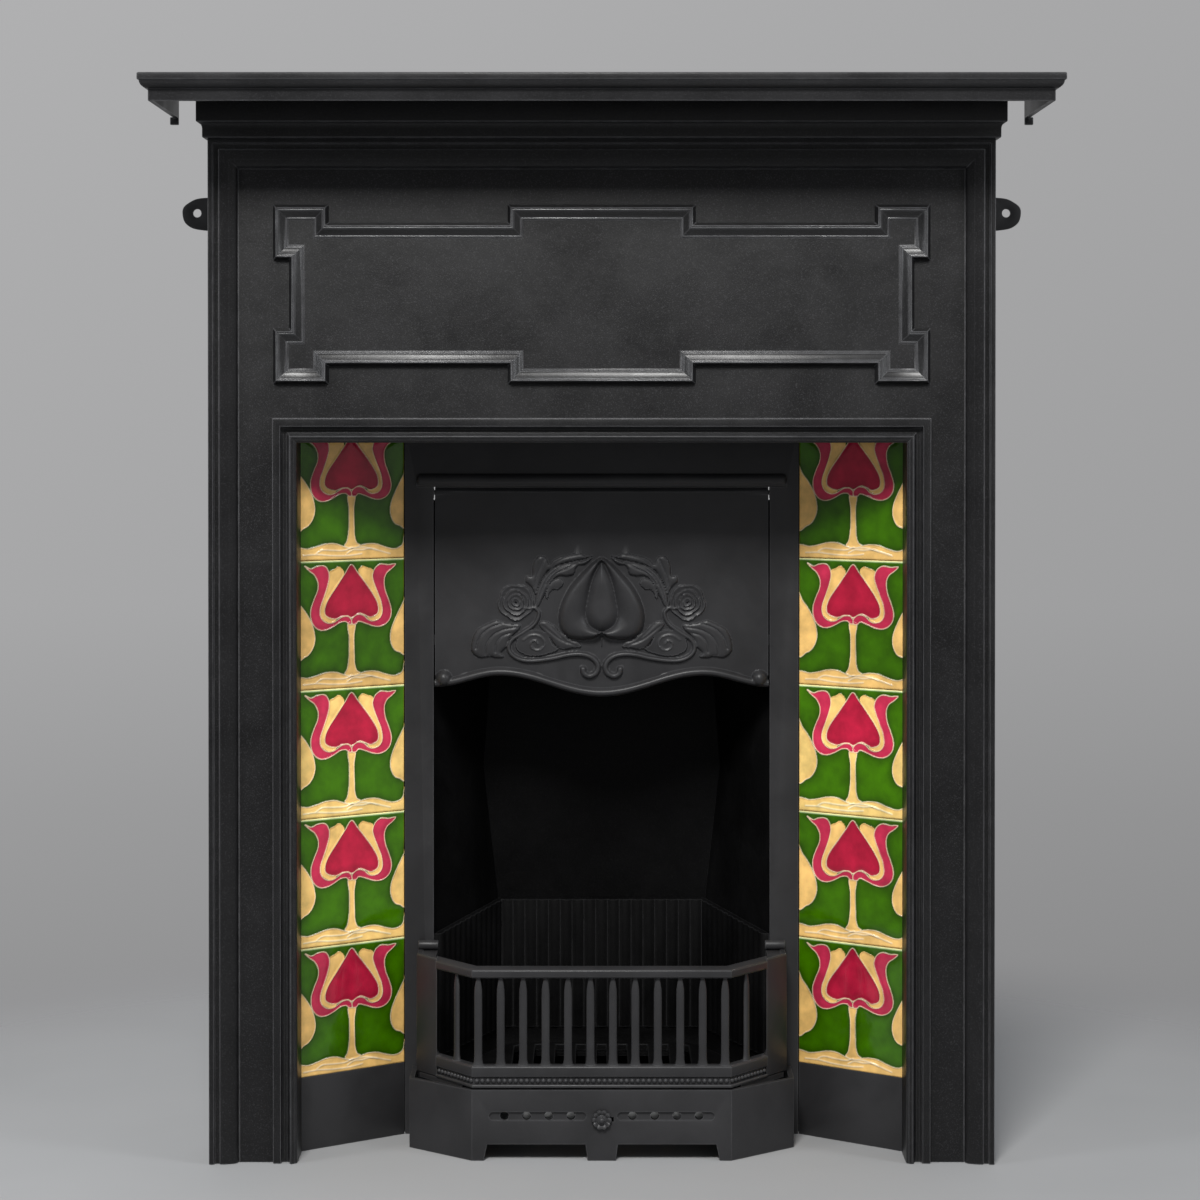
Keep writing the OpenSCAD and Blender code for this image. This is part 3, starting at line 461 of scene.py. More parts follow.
def cast_surface_group():
    """Grain, slow waves, blotches and specks of a sand casting. Height is in millimetres."""
    tree, given, result = new_group(
        "Cast surface", [("Grain per metre", 700.0), ("Grain depth", 0.06), ("Wave depth", 0.25)],
        ["Height", "Mottle", "Specks"])
    coords = add_node(tree, "ShaderNodeTexCoord", -900, 300).outputs["Object"]
    grain = noise(tree, -600, 300, coords, (given, "Grain per metre"), 3.0, 0.6)
    waves = noise(tree, -600, 0, coords, 42.0, 2.0, 0.45)
    blotch = noise(tree, -600, -300, coords, 11.0, 5.0, 0.62, 0.4)
    sand = noise(tree, -600, -600, coords, 820.0, 1.0, 0.5)
    fine = arithmetic(tree, "MULTIPLY", -300, 300, (grain, "Fac"), (given, "Grain depth"))
    slow = arithmetic(tree, "MULTIPLY", -300, 0, (waves, "Fac"), (given, "Wave depth"))
    height = arithmetic(tree, "ADD", 0, 200, (fine, 0), (slow, 0))
    wire(tree, height, 0, result, "Height")
    mottle = map_range(tree, -300, -300, (blotch, "Fac"), (0.32, 0.68))
    feed(tree, result.inputs["Mottle"], mottle)
    specks = map_range(tree, -300, -600, (sand, "Fac"), (0.56, 0.74))
    feed(tree, result.inputs["Specks"], specks)


def edge_wear_and_highlight_group():
    """Mask of the edges that handling and blacking brushes polish, also used to paint a highlight
    on the arrises, broken up by noise.
    """
    tree, given, result = new_group("Edge wear", [("Radius", 0.002), ("Strength", 4.0)], ["Mask"])
    soft = add_node(tree, "ShaderNodeBevel", -600, 200, samples=4)
    wire(tree, given, "Radius", soft, "Radius")
    sharp = add_node(tree, "ShaderNodeNewGeometry", -600, 0)
    likeness = add_node(tree, "ShaderNodeVectorMath", -350, 100, operation="DOT_PRODUCT")
    wire(tree, soft, "Normal", likeness, 0)
    wire(tree, sharp, "Normal", likeness, 1)
    apart = arithmetic(tree, "SUBTRACT", -150, 100, 1.0, (likeness, "Value"), True)
    gain = arithmetic(tree, "MULTIPLY", 50, 100, (apart, 0), (given, "Strength"), True)
    coords = add_node(tree, "ShaderNodeTexCoord", -900, -300).outputs["Object"]
    broken = noise(tree, -350, -300, coords, 60.0, 4.0, 0.6)
    worn_and_highlight = arithmetic(tree, "MULTIPLY", 250, 0, (gain, 0), (broken, "Fac"), True)
    wire(tree, worn_and_highlight, 0, result, "Mask")


def place_group(tree, group, x, y, **values):
    """A node group placed in a material with its own values, _ standing for a space."""
    node = add_node(tree, "ShaderNodeGroup", x, y)
    node.node_tree = bpy.data.node_groups[group]
    for key, value in values.items():
        node.inputs[key.replace("_", " ")].default_value = value
    return node


def blend_colours(tree, x, y, factor, a, b):
    """Mix of two colours; a and b are colours or outputs."""
    node = add_node(tree, "ShaderNodeMix", x, y, data_type="RGBA")
    for number, value in ((0, factor), (6, a), (7, b)):
        feed(tree, node.inputs[number], value)
    return node.outputs[2]


def raise_surface(tree, shader, y, height, strength, distance):
    """Feeds a height to the shader's normal."""
    bump = add_node(tree, "ShaderNodeBump", -350, y)
    bump.inputs["Strength"].default_value = strength
    bump.inputs["Distance"].default_value = distance
    feed(tree, bump.inputs["Height"], height)
    wire(tree, bump, "Normal", shader, "Normal")


def new_material(name):
    """A material, its tree and its shader."""
    material = bpy.data.materials.new(name)
    material.use_nodes = True
    tree = material.node_tree
    return material, tree, tree.nodes["Principled BSDF"]


def iron_finish(name, dark, light, worn_and_highlight, rough, grain, grain_depth, wave_depth, shine, sand,
                metallic=0.0):
    """Blacked cast iron: mottled colour, edges in a lighter tone that is partly polish and partly
    painted highlight, sandy grain and slow waves.
    """
    _, tree, shader = new_material(name)
    cast = place_group(tree, "Cast surface", -900, 0, Grain_per_metre=grain,
                       Grain_depth=grain_depth, Wave_depth=wave_depth)
    edge = place_group(tree, "Edge wear", -900, -300, Radius=0.0018, Strength=28.0)
    body = blend_colours(tree, -600, 200, (cast, "Mottle"), dark, light)
    sandy = arithmetic(tree, "MULTIPLY", -600, 400, (cast, "Specks"), sand)
    body = blend_colours(tree, -500, 300, (sandy, 0), body, worn_and_highlight)
    # the edges take the lighter worn tone: partly polish, partly a painted highlight on the
    # arrises
    colour = blend_colours(tree, -350, 200, (edge, "Mask"), body, worn_and_highlight)
    feed(tree, shader.inputs["Base Color"], colour)
    # edges are smoother than the rest
    matt = map_range(tree, -600, -100, (cast, "Mottle"), result=rough)
    sleek = arithmetic(tree, "MULTIPLY", -400, -250, (edge, "Mask"), 0.14)
    final = arithmetic(tree, "SUBTRACT", -200, -150, matt, (sleek, 0), True)
    wire(tree, final, 0, shader, "Roughness")
    shader.inputs["Specular IOR Level"].default_value = shine
    shader.inputs["Metallic"].default_value = metallic
    raise_surface(tree, shader, -450, (cast, "Height"), 1.0, MM)


def glaze_finish(name):
    """Glossy majolica glaze over moulded lines, its colours held in the piece's own attribute."""
    _, tree, shader = new_material(name)
    glaze = add_node(tree, "ShaderNodeAttribute", -900, 200, attribute_name="glaze")
    coords = add_node(tree, "ShaderNodeTexCoord", -1200, -100).outputs["Object"]
    cloud = noise(tree, -900, -100, coords, 45.0, 3.0, 0.55)
    depth = map_range(tree, -700, -100, (cloud, "Fac"), result=(0.45, 1.55))
    shade = add_node(tree, "ShaderNodeVectorMath", -500, 150, operation="SCALE")
    wire(tree, glaze, "Color", shade, 0)
    feed(tree, shade.inputs["Scale"], depth)
    wire(tree, shade, 0, shader, "Base Color")
    specks = noise(tree, -900, -400, coords, 500.0, 2.0, 0.5)
    rough = map_range(tree, -600, -400, (specks, "Fac"), result=(0.04, 0.12))
    feed(tree, shader.inputs["Roughness"], rough)
    ripple = noise(tree, -900, -700, coords, 90.0, 2.0, 0.5)
    raise_surface(tree, shader, -600, (ripple, "Fac"), 0.5, MM * 0.15)
    shader.inputs["Specular IOR Level"].default_value = 0.4


class FIREPLACE_OT_finishes(bpy.types.Operator):
    """Makes the shared node groups and the materials"""
    bl_idname = "fireplace.finishes"
    bl_label = "Finishes"

    def execute(self, context):
        look = context.scene.fireplace_finishes
        cast_surface_group()
        edge_wear_and_highlight_group()
        black = (look.iron_dark, look.iron_light, look.iron_worn_and_highlight)
        steel = (look.steel, look.steel, linear(150, 150, 152)[:3])
        # name, dark, light and worn tone (the worn tone also paints a highlight on the edges),
        # factor of each, roughness from and to, grains per metre, depth of grain and of waves in
        # millimetres, shine, sand, and metallic if any
        for name, tones, factors, *surface in (
                ("Blacked iron", black, (1, 1, 1), (0.34, 0.50), 620.0, 0.10, 0.30, 0.22, 0.14),
                ("Moulding iron", black, (1, 1, 1), (0.28, 0.40), 620.0, 0.10, 0.30, 0.44, 0.14),
                ("Shelf iron", black, (1.6, 1.6, 1), (0.34, 0.50), 620.0, 0.10, 0.30, 0.26, 0.14),
                ("Insert iron", black, (2.6, 2.4, 0.5), (0.36, 0.50), 700.0, 0.06, 0.18, 0.30,
                 0.06),
                # the grate iron is dark partly from soot and partly as painted shade of the deep
                # fire chamber
                ("Grate iron", black, (0.2, 0.3, 0.22), (0.46, 0.66), 480.0, 0.12, 0.35, 0.08,
                 0.15),
                ("Bolt steel", steel, (0.55, 1, 1), (0.32, 0.55), 900.0, 0.03, 0.05, 0.5, 0.10,
                 0.85)):
            colours = [tuple(c * factor for c in tone) + (1.0,)
                       for tone, factor in zip(tones, factors)]
            iron_finish(name, *colours, *surface)
        glaze_finish("Tile glaze")
        return {"FINISHED"}


# ------------------------------------------------------------------ surround
def arch_loop(half, top, depth):
    """One loop of the surround's moulding: up one side, across the top and down the other."""
    # it starts under the floor, where the casting is cut off
    foot = -60
    return [at(-half, depth, foot), at(-half, depth, top), at(half, depth, top),
            at(half, depth, foot)]


def shelf_loop(half, front, far, z):
    """One level loop of a moulding that runs along the front and back along both sides."""
    return [at(-half, far, z), at(-half, front, z), at(half, front, z), at(half, far, z)]


def quarter(u0, v0, u1, v1, n):
    """Quarter round between two points of a profile, leaving the first one flat."""
    turns = [math.pi / 2 * i / n for i in range(n + 1)]
    return [(u0 + (u1 - u0) * math.sin(t), v1 + (v0 - v1) * math.cos(t)) for t in turns]


def surround_body(sizes):
    """The pilasters, header and returns in one hollow casting."""
    outer = [(0, 0), (6, 0), (6, 4.5), (12.5, 4.5), (12.5, 0.6)] + quarter(
        13.7, 0.6, 33, 10.5, 8) + [(33, 13.5), (34.2, 13.5), (34.2, FIELD_D)]
    w = sizes.inner_moulding / MM
    inner = [(0, FIELD_D), (0, 5), (9.3, 5), (9.6, 11.5), (12, 13.2), (16, 13.2), (18.6, 11),
             (19.4, 4.2), (20.2, 2.8), (21.6, 2.6), (25.2, 4.2), (25.6, 5.6), (w - 0.9, 6.4),
             (w, 7.8)]
    loops = [arch_loop(BODY_HALF - u, BODY_TOP - u, v) for u, v in outer]
    loops += [arch_loop(OPENING_HALF + w - u, OPENING_TOP + w - u, v) for u, v in inner]
    # the ledge that the tile trays are bolted to, and the hollow behind the front
    ledge_half, ledge_d = 391, 57.8
    hollow_d = FIELD_D + WALL
    neck = (OPENING_HALF + WALL, OPENING_TOP + WALL)
    shell = (BODY_HALF - WALL, BODY_TOP - WALL)
    loops += [arch_loop(*b) for b in (
        (OPENING_HALF, OPENING_TOP, ledge_d), (ledge_half, TRAY_TOP, ledge_d),
        (ledge_half, TRAY_TOP, ledge_d - WALL), (*neck, ledge_d - WALL), (*neck, hollow_d),
        (*shell, hollow_d), (*shell, WALL_D), (BODY_HALF, BODY_TOP, WALL_D),
        (BODY_HALF, BODY_TOP, hollow_d))]
    body = swept("surround_casting", loops, closed=True)
    cut_off(body, at(0, 0, 0), (0, 0, -1))
    # the cornice closes the top, so the hollow has no wall of its own there
    edit(body)
    limit = at(0, hollow_d + 0.5, BODY_TOP - 8)
    select_where(body, "faces", lambda f: f.calc_center_median().z > limit.z
                 and f.calc_center_median().y > limit.y)
    bpy.ops.mesh.delete(type="FACE")
    select_where(body, "edges", lambda e: e.is_boundary)
    bpy.ops.mesh.edge_face_add()
    tidy_mesh(body)
    return body


def cornice():
    """The cove and frieze under the shelf, hollow behind."""
    out, frieze, foot = 12.0, 1212.0, 1187.5
    far = WALL_D + 40

    def loop(u, z):
        return shelf_loop(BODY_HALF + u, -u, far, z)
    cove = [(11 - 5.4 * math.cos(t), 1203.5 + 7.5 * math.sin(t)) for t in QUARTER_TURN]
    loops = [loop(5, SHELF_SEAT - WALL), loop(5, frieze)]
    loops += [shelf_loop(BODY_HALF - WALL, FIELD_D + WALL, far, z) for z in (frieze, foot)]
    loops += [loop(u, z) for u, z in [
        (-1.5, foot), (-1.5, BODY_TOP + 0.2), (4.6, BODY_TOP + 0.2), (5.6, BODY_TOP + 1.2)]]
    loops += [loop(u, z) for u, z in cove + [(out, frieze), (out, SHELF_SEAT)]]
    piece = swept("cornice_casting", loops)
    cut_off(piece, at(0, WALL_D, 0), (0, 1, 0))
    return piece


def header_outline(sizes):
    """The stepped outline of the header moulding, with a box at each corner."""
    w, h = sizes.panel_width / MM / 2, sizes.panel_height / MM / 2
    box, dip, waist, rise = 65.0, 21.0, 18.6, 109.5
    top = [(-w, h), (box - w, h), (box - w, h - dip), (-rise, h - dip), (-rise, h), (rise, h),
           (rise, h - dip), (w - box, h - dip), (w - box, h), (w, h), (w, h - box),
           (w - waist, h - box), (w - waist, box - h), (w, box - h)]
    return top + [(-x, -z) for x, z in top]


def header_moulding(sizes):
    """The stepped moulding, inset step by step from its outline."""
    drop, sunk = 4, 2
    middle = (OPENING_TOP + BODY_TOP) / 2 - drop
    outline = [at(x, FIELD_D + sunk, z + middle) for x, z in header_outline(sizes)]
    deselect_all()
    bpy.ops.mesh.primitive_circle_add(vertices=len(outline), radius=0.05, fill_type="NGON")
    piece = named("header_moulding")
    bm = edit(piece)
    for v, point in zip(list(bm.verts), outline):
        v.co = point
    bm.normal_update()
    face = bm.faces[:][0]
    if face.normal.y > 0:
        face.normal_flip()
    bmesh.update_edit_mesh(piece.data)
    # each step in millimetres: across the moulding, and up from the header
    steps = [(0.02, 2), (3.4, 6.4), (0.3, 1.4), (1.2, 0), (0.3, -1.3), (1.1, 0.7), (1.1, -0.7),
             (0.3, -0.9), (4.4, -2.2), (2.6, -1.7), (0.3, -0.8), (1.0, 0.6), (1.0, -0.6),
             (0.3, -0.7), (2.0, -0.3), (0.05, -2.0)]
    for across, up in steps:
        bpy.ops.mesh.select_all(action="DESELECT")
        bm = bmesh.from_edit_mesh(piece.data)
        cap = max(bm.faces, key=lambda f: len(f.verts))
        cap.select_set(True)
        bmesh.update_edit_mesh(piece.data)
        bpy.ops.mesh.inset(thickness=across * MM, depth=up * MM, use_even_offset=True)
    bpy.ops.mesh.delete(type="ONLY_FACE")
    select_where(piece, "edges", lambda e: e.is_boundary)
    bpy.ops.mesh.bridge_edge_loops()
    tidy_mesh(piece)
    return piece


def wall_lugs():
    """The two ears that are screwed to the wall."""
    lug_x, z, hole, root, thick = 481.0, 1112.0, 5.0, -29, 6
    ear = flowing([(17.5, 0), (16, 7), (9.5, 12.5), (0, 17), (-14, 18.5), (root, 19),
                   (root, -21.5), (-14, -21), (2, -19), (10, -15.5), (15.5, -9.5)], True, 4)
    pieces = []
    for side in (-1, 1):
        cx = side * lug_x
        outer = [(cx + side * max(x, root), z + h) for x, h in ear]
        inner = [(cx + side * hole * x / math.hypot(x, h), z + hole * h / math.hypot(x, h))
                 for x, h in ear]
        loops = [[at(x, d, h) for x, h in ring] for ring, d in
                 ((outer, WALL_D), (outer, WALL_D - thick), (inner, WALL_D - thick),
                  (inner, WALL_D))]
        pieces.append(swept("wall_lug", loops, closed=True))
    return joined("wall_lugs", pieces)


class FIREPLACE_OT_surround(bpy.types.Operator):
    """Builds the surround with its mouldings, cornice and wall lugs"""
    bl_idname = "fireplace.surround"
    bl_label = "Surround"

    def execute(self, context):
        sizes = context.scene.fireplace_sizes
        body = surround_body(sizes)
        round_arrises(body, sizes.arris)
        top = cornice()
        round_arrises(top, sizes.arris)
        panel = header_moulding(sizes)
        round_arrises(panel, sizes.arris * 0.35, 1)
        lugs = wall_lugs()
        round_arrises(lugs, sizes.arris)
        dress(body, "frame", "Blacked iron", nodes=["surround"])
        # the wall lugs take the lighter insert iron: a painted lift of light where the shelf's
        # shadow falls on them
        for piece, finish in ((top, "Blacked iron"), (panel, "Moulding iron"),
                              (lugs, "Insert iron")):
            dress(piece, "frame", finish)
        return {"FINISHED"}


class FIREPLACE_OT_shelf(bpy.types.Operator):
    """Builds the mantel shelf"""
    bl_idname = "fireplace.shelf"
    bl_label = "Mantel shelf"

    def execute(self, context):
        sizes = context.scene.fireplace_sizes
        half, inside, foot = SHELF_HIGH[0], 17, 1225
        cyma = [(-2 - 9 * (1 - math.sin(t)), SHELF_SEAT - 9 * math.cos(t)) for t in QUARTER_TURN]
        profile = [(-inside, SHELF_SEAT), (-inside, foot), (-11, foot)] + cyma + [
            (-0.8, SHELF_SEAT), (0, SHELF_SEAT + 1), (0, TOTAL_TOP - 1), (-1, TOTAL_TOP)]
        shelf = swept("mantel_shelf_casting", [
            shelf_loop(half + u, -SHELF_PROJECTION - u, WALL_D + 60, z) for u, z in profile])
        cut_off(shelf, at(0, WALL_D, 0), (0, 1, 0))
        round_arrises(shelf, sizes.arris)
        ears = []
        for side in (-1, 1):
            x0, x1 = sorted((side * (half - inside), side * (half - 7)))
            ears.append(block("shelf_ear", x0, x1, WALL_D - 6, WALL_D, foot - 8, foot + 1,
                              sizes.arris))
        shelf = joined("mantel_shelf_casting", [shelf] + ears)
        dress(shelf, "frame", "Shelf iron", nodes=["mantel_shelf"])
        return {"FINISHED"}


# ------------------------------------------------------------------ tiles
def splay_point(side, s, t, z):
    """A point of a splayed tile panel: s runs in from its outer edge, t back through it."""
    x = TILE_X - s * math.cos(SPLAY) + t * math.sin(SPLAY)
    d = TILE_D + s * math.sin(SPLAY) + t * math.cos(SPLAY)
    return at(-x if side == "left" else x, d, z)


def drawn(points):
    """Points of the tile's drawing, a sheet that leans a little, in millimetres of the tile."""
    p = np.array(points, float)
    left, width = 48, 1107
    u = (p[:, 0] - left) / width
    top, foot = 62 - 47 * u, 1458 - 72 * u
    return np.column_stack([(0.028 + 0.972 * u) * TILE_SIDE,
                            (foot - p[:, 1]) / (foot - top) * TILE_SIDE])


def tulip():
    """The fields of the tile's tulip: name of the glaze, outline, and the raised lines."""
    heart = [(590, 92), (660, 180), (740, 290), (820, 410), (868, 510), (874, 600), (840, 645),
             (785, 662), (735, 640), (690, 622), (650, 632), (612, 660), (585, 668), (550, 650),
             (490, 656), (435, 682), (370, 676), (318, 640), (314, 570), (350, 470), (440, 325),
             (520, 195)]
    left = [(106, 112), (155, 165), (207, 210), (242, 290), (238, 380), (200, 480), (168, 590),
            (172, 690), (205, 765), (262, 805), (330, 802), (400, 768), (470, 722), (530, 712),
            (560, 735), (590, 738), (590, 690), (555, 655), (500, 660), (450, 692), (405, 722),
            (350, 730), (295, 700), (265, 640), (268, 560), (300, 460), (340, 330), (360, 220),
            (340, 140), (300, 108), (230, 116), (170, 142)]
    right = [(1058, 82), (1020, 130), (965, 180), (938, 260), (950, 370), (985, 470), (1012, 570),
             (1005, 660), (960, 728), (890, 762), (815, 756), (740, 728), (668, 708), (640, 735),
             (600, 738), (595, 690), (625, 650), (665, 632), (720, 645), (770, 690), (820, 702),
             (880, 678), (915, 610), (905, 500), (870, 400), (830, 290), (814, 210), (840, 130),
             (900, 84), (980, 90)]
    cream_left = [(362, 178), (410, 150), (462, 120), (512, 192), (430, 330), (340, 480),
                  (305, 580), (318, 650), (380, 684), (430, 690), (380, 724), (310, 700),
                  (268, 640), (275, 540), (325, 400), (358, 260)]
    cream_right = [(670, 178), (700, 112), (752, 124), (815, 150), (815, 230), (845, 330),
                   (890, 440), (918, 560), (905, 650), (850, 696), (780, 684), (765, 655),
                   (830, 650), (880, 600), (870, 510), (790, 360)]
    trunk = [(554, 735), (630, 735), (618, 860), (620, 1040), (624, 1160), (645, 1240),
             (684, 1272), (600, 1300), (521, 1284), (548, 1220), (566, 1080), (567, 880)]
    drop_left = [(0, 480), (60, 540), (118, 618), (174, 726), (207, 850), (204, 955), (163, 1050),
                 (100, 1104), (0, 1120)]
    drop_right = [(1175, 440), (1150, 480), (1110, 560), (1055, 680), (1012, 800), (1005, 910),
                  (1040, 1005), (1100, 1038), (1175, 1022)]
    ground = [(0, 1328), (130, 1328), (220, 1305), (320, 1270), (420, 1262), (500, 1286),
              (545, 1300), (620, 1290), (690, 1270), (770, 1250), (860, 1252), (950, 1280),
              (1040, 1297), (1110, 1272), (1142, 1225), (1155, 1150), (1220, 1000), (1240, 1500),
              (-20, 1500)]
    swirls = [[(225, 1372), (290, 1335), (400, 1335), (520, 1330), (600, 1295)],
              [(545, 1362), (610, 1320), (700, 1318), (800, 1300), (900, 1325), (1000, 1350)],
              [(560, 1310), (640, 1298), (740, 1290), (860, 1318)],
              [(90, 1400), (230, 1385), (380, 1392), (560, 1385), (700, 1360)]]
    fields = [("cream", ground, True), ("cream", drop_left, True), ("cream", drop_right, True),
              ("cream", trunk, True), ("cream", cream_left, False), ("cream", cream_right, False),
              ("petal", left, True), ("petal", right, True), ("heart", heart, True)]
    return ([(glaze, flowing(drawn(line), True), lined) for glaze, line, lined in fields],
            [flowing(drawn(line)) for line in swirls])


def tinted(colour, tone, amount):
    """Colours mixed with one tone, each by its own amount from 0 to 1."""
    amount = amount[:, None]
    return colour * (1 - amount) + np.array(tone[:3]) * amount


def tile_face(cells, relief, colours):
    """Points, heights and glaze colours of one tile's face on a square grid."""
    pitch = TILE_SIDE / cells
    v, u = np.mgrid[0:cells + 1, 0:cells + 1] * pitch
    points = np.column_stack([u.ravel(), v.ravel()])
    fields, swirls = tulip()
    rim = np.minimum.reduce([points[:, 0], points[:, 1], TILE_SIDE - points[:, 0],
                             TILE_SIDE - points[:, 1]])
    # points of the grid that lie close to an outline move onto it, so that it runs smooth
    free = rim > pitch * 0.6
    moved = points.copy()
    closest = np.full(len(points), FAR)
    for _, line, _ in fields:
        away, _, spot = near_line(points, line, True)
        snap = free & (away < 0.5 * pitch) & (away < closest)
        moved[snap] = spot[snap]
        closest[snap] = away[snap]
    points = np.where(free[:, None], moved, points)
    # glazes are lighter in the middle of a field and darker along the moulded lines
    colour = np.tile(np.array(colours["ground"][:3]), (len(points), 1))
    lines = np.full(len(points), FAR)
    inked = np.full(len(points), FAR)
    for glaze, line, lined in fields:
        away = near_line(points, line, True)[0]
        inside = within(points, line) | (away < 1e-6)
        base = np.array(colours[glaze][:3])
        shade = np.array(colours[glaze + "_deep"][:3])
        swell = np.clip(away / 9, 0, 1)[:, None]
        colour[inside] = (shade * (1 - swell) + base * swell)[inside]
        inked[inside] = FAR
        lines = np.minimum(lines, away)
        if lined:
            inked = np.minimum(inked, away)
    plain = np.all(np.isclose(colour, colours["ground"][:3]), axis=1)
    pooled = tinted(colour, colours["ground_deep"], 0.85 * np.exp(-lines / 5.5))
    colour = np.where(plain[:, None], pooled, colour)
    colour = tinted(colour, colours["outline"], 0.9 * bell(inked, 0.45))
    raised = 1 - np.exp(-np.minimum(lines, 20) / 1.8)
    height = relief * (0.5 * raised + 0.8 * bell(lines, 0.72))
    for line in swirls:
        on_line = bell(near_line(points, line)[0], 0.9)
        height += relief * 0.5 * on_line
        colour = tinted(colour, colours["cream_light"], 0.75 * on_line)
    top_line = np.exp(-((TILE_SIDE - points[:, 1]) / 2.0) ** 4)
    colour = tinted(colour, colours["rim"], top_line)
    colour = tinted(colour, colours["cream"], 0.6 * bell(rim, 0.7))
    height -= 0.9 * bell(rim, 0.8)
    return points, height, colour


class FIREPLACE_OT_tiles(bpy.types.Operator):
    """Builds the ten moulded tiles"""
    bl_idname = "fireplace.tiles"
    bl_label = "Tiles"

    def execute(self, context):
        look = context.scene.fireplace_finishes
        sizes = context.scene.fireplace_sizes
        colours = {"ground": look.glaze_green, "heart": look.glaze_rose, "petal": look.glaze_petal,
                   "cream": look.glaze_cream, "outline": look.glaze_outline,
                   "cream_light": linear(255, 238, 205), "rim": linear(214, 232, 176)}
        # how dark each glaze is where it has run together
        for glaze, factor in (("ground", 0.28), ("heart", 0.75), ("petal", 0.85), ("cream", 0.93)):
            colours[glaze + "_deep"] = tuple(c * factor for c in colours[glaze])
        biscuit = linear(205, 184, 150)
        cells, glazed_edge, thick, sink, merge = 180, 1.2, 8.0, 1.0, 1e-7
        points, height, colour = tile_face(cells, sizes.tile_relief / MM, colours)
        model, _, _ = sheet_of_grid("tile_model", cells, cells)
        set_points(model, np.column_stack([points, height]) * MM)
        paint = model.data.color_attributes.new("glaze", "FLOAT_COLOR", "POINT")
        painted = np.column_stack([colour, np.ones(len(colour))]).astype(np.float32)
        paint.data.foreach_set("color", painted.ravel())
        edit(model)
        select_where(model, "edges", lambda e: e.is_boundary)
        for depth in (glazed_edge, thick):
            bpy.ops.mesh.extrude_edges_move()
            bm = bmesh.from_edit_mesh(model.data)
            glaze = bm.verts.layers.float_color["glaze"]
            for v in bm.verts:
                if v.select:
                    v.co.z = -depth * MM
                    v[glaze] = biscuit
            bmesh.update_edit_mesh(model.data)
        bpy.ops.mesh.edge_face_add()
        tidy_mesh(model, merge)
        # every firing came out a little lighter or darker, from the plinth up
        firings = {"left": (0.84, 1.06, 1.10, 0.80, 0.84), "right": (0.88, 0.97, 1.12, 0.90, 0.84)}
        for side, tones in firings.items():
            for n, tone in enumerate(tones, 1):
                def seat(co, side=side, foot=PLINTH_TOP + (n - 1) * TILE_PITCH):
                    u, v, h = co.x / MM, co.y / MM, co.z / MM
                    s = u if side == "left" else TILE_SIDE - u
                    return splay_point(side, s, sink - h, foot + v)
                tile = copy_of(model, f"moulded_tile_{side}_{n}", seat)
                fired = tile.data.color_attributes["glaze"].data
                rgba = np.zeros(len(fired) * 4, np.float32)
                fired.foreach_get("color", rgba)
                fired.foreach_set("color", np.clip(rgba * tone, 0, 1))
                tidy_mesh(tile, merge)
                dress(tile, "frame", "Tile glaze", smooth=60,
                      nodes=[f"tile_{side}_{n}"])
        bpy.data.objects.remove(model)
        return {"FINISHED"}


# ------------------------------------------------------------------ insert, trays and chamber
class FIREPLACE_OT_insert(bpy.types.Operator):
    """Builds the insert plate, soffit plate and tile trays"""
    bl_idname = "fireplace.insert"
    bl_label = "Insert"

    def execute(self, context):
        sizes = context.scene.fireplace_sizes
        for node, name, finish in (("insert_plate", "insert_casting", "Insert iron"),
                                   ("soffit_plate", "soffit_casting", "Blacked iron"),
                                   ("tile_tray_left", "tray_casting_left", "Insert iron"),
                                   ("tile_tray_right", "tray_casting_right", "Insert iron")):
            piece = casting_from(node, name, sizes.arris * 0.8)
            dress(piece, "frame", finish, nodes=[node])
        # the half-round ridge over the hood is fuller on the casting than in the solids
        half, d = 224.2, INSERT_D + 2.5
        ridge = rod("insert_ridge", at(-half, d, RIDGE_Z), at(half, d, RIDGE_Z), 8 * MM, 32,
                    5 * MM)
        dress(ridge, "frame", "Insert iron", smooth=60)
        return {"FINISHED"}


class FIREPLACE_OT_chamber(bpy.types.Operator):
    """Builds the cheeks, fireback, throat plate and register flap"""
    bl_idname = "fireplace.chamber"
    bl_label = "Fire chamber"

    def execute(self, context):
        sizes = context.scene.fireplace_sizes
        for node, name, body in (("left_cheek", "cheek_casting_left", "frame"),
                                 ("right_cheek", "cheek_casting_right", "frame"),
                                 ("fireback", "fireback_casting", "frame"),
                                 ("throat_plate", "throat_casting", "frame"),
                                 ("register_flap", "flap_casting", "register_flap")):
            piece = casting_from(node, name, sizes.arris)
            dress(piece, body, "Grate iron", nodes=[node])
        return {"FINISHED"}


class FIREPLACE_OT_basket(bpy.types.Operator):
    """Builds the fluted fire basket and the bottom grate"""
    bl_idname = "fireplace.basket"
    bl_label = "Fire basket"

    def execute(self, context):
        sizes = context.scene.fireplace_sizes
        basket = casting_from("fire_basket", "basket_casting", sizes.arris * 0.8, 2, 50)
        dress(basket, "frame", "Grate iron", smooth=40, nodes=["fire_basket"])
        grate = casting_from("bottom_grate", "grate_casting", sizes.arris)
        dress(grate, "bottom_grate", "Grate iron", nodes=["bottom_grate"])
        return {"FINISHED"}


# ------------------------------------------------------------------ hood
HOOD_HALF = 202.0
HOOD_LOW = 531.0


def hood_front(x):
    """Depth of the hood's face at x; it bows forward in the middle."""
    return INSERT_D + 3.7 - 5.2 * (1 - (x / HOOD_HALF) ** 2)


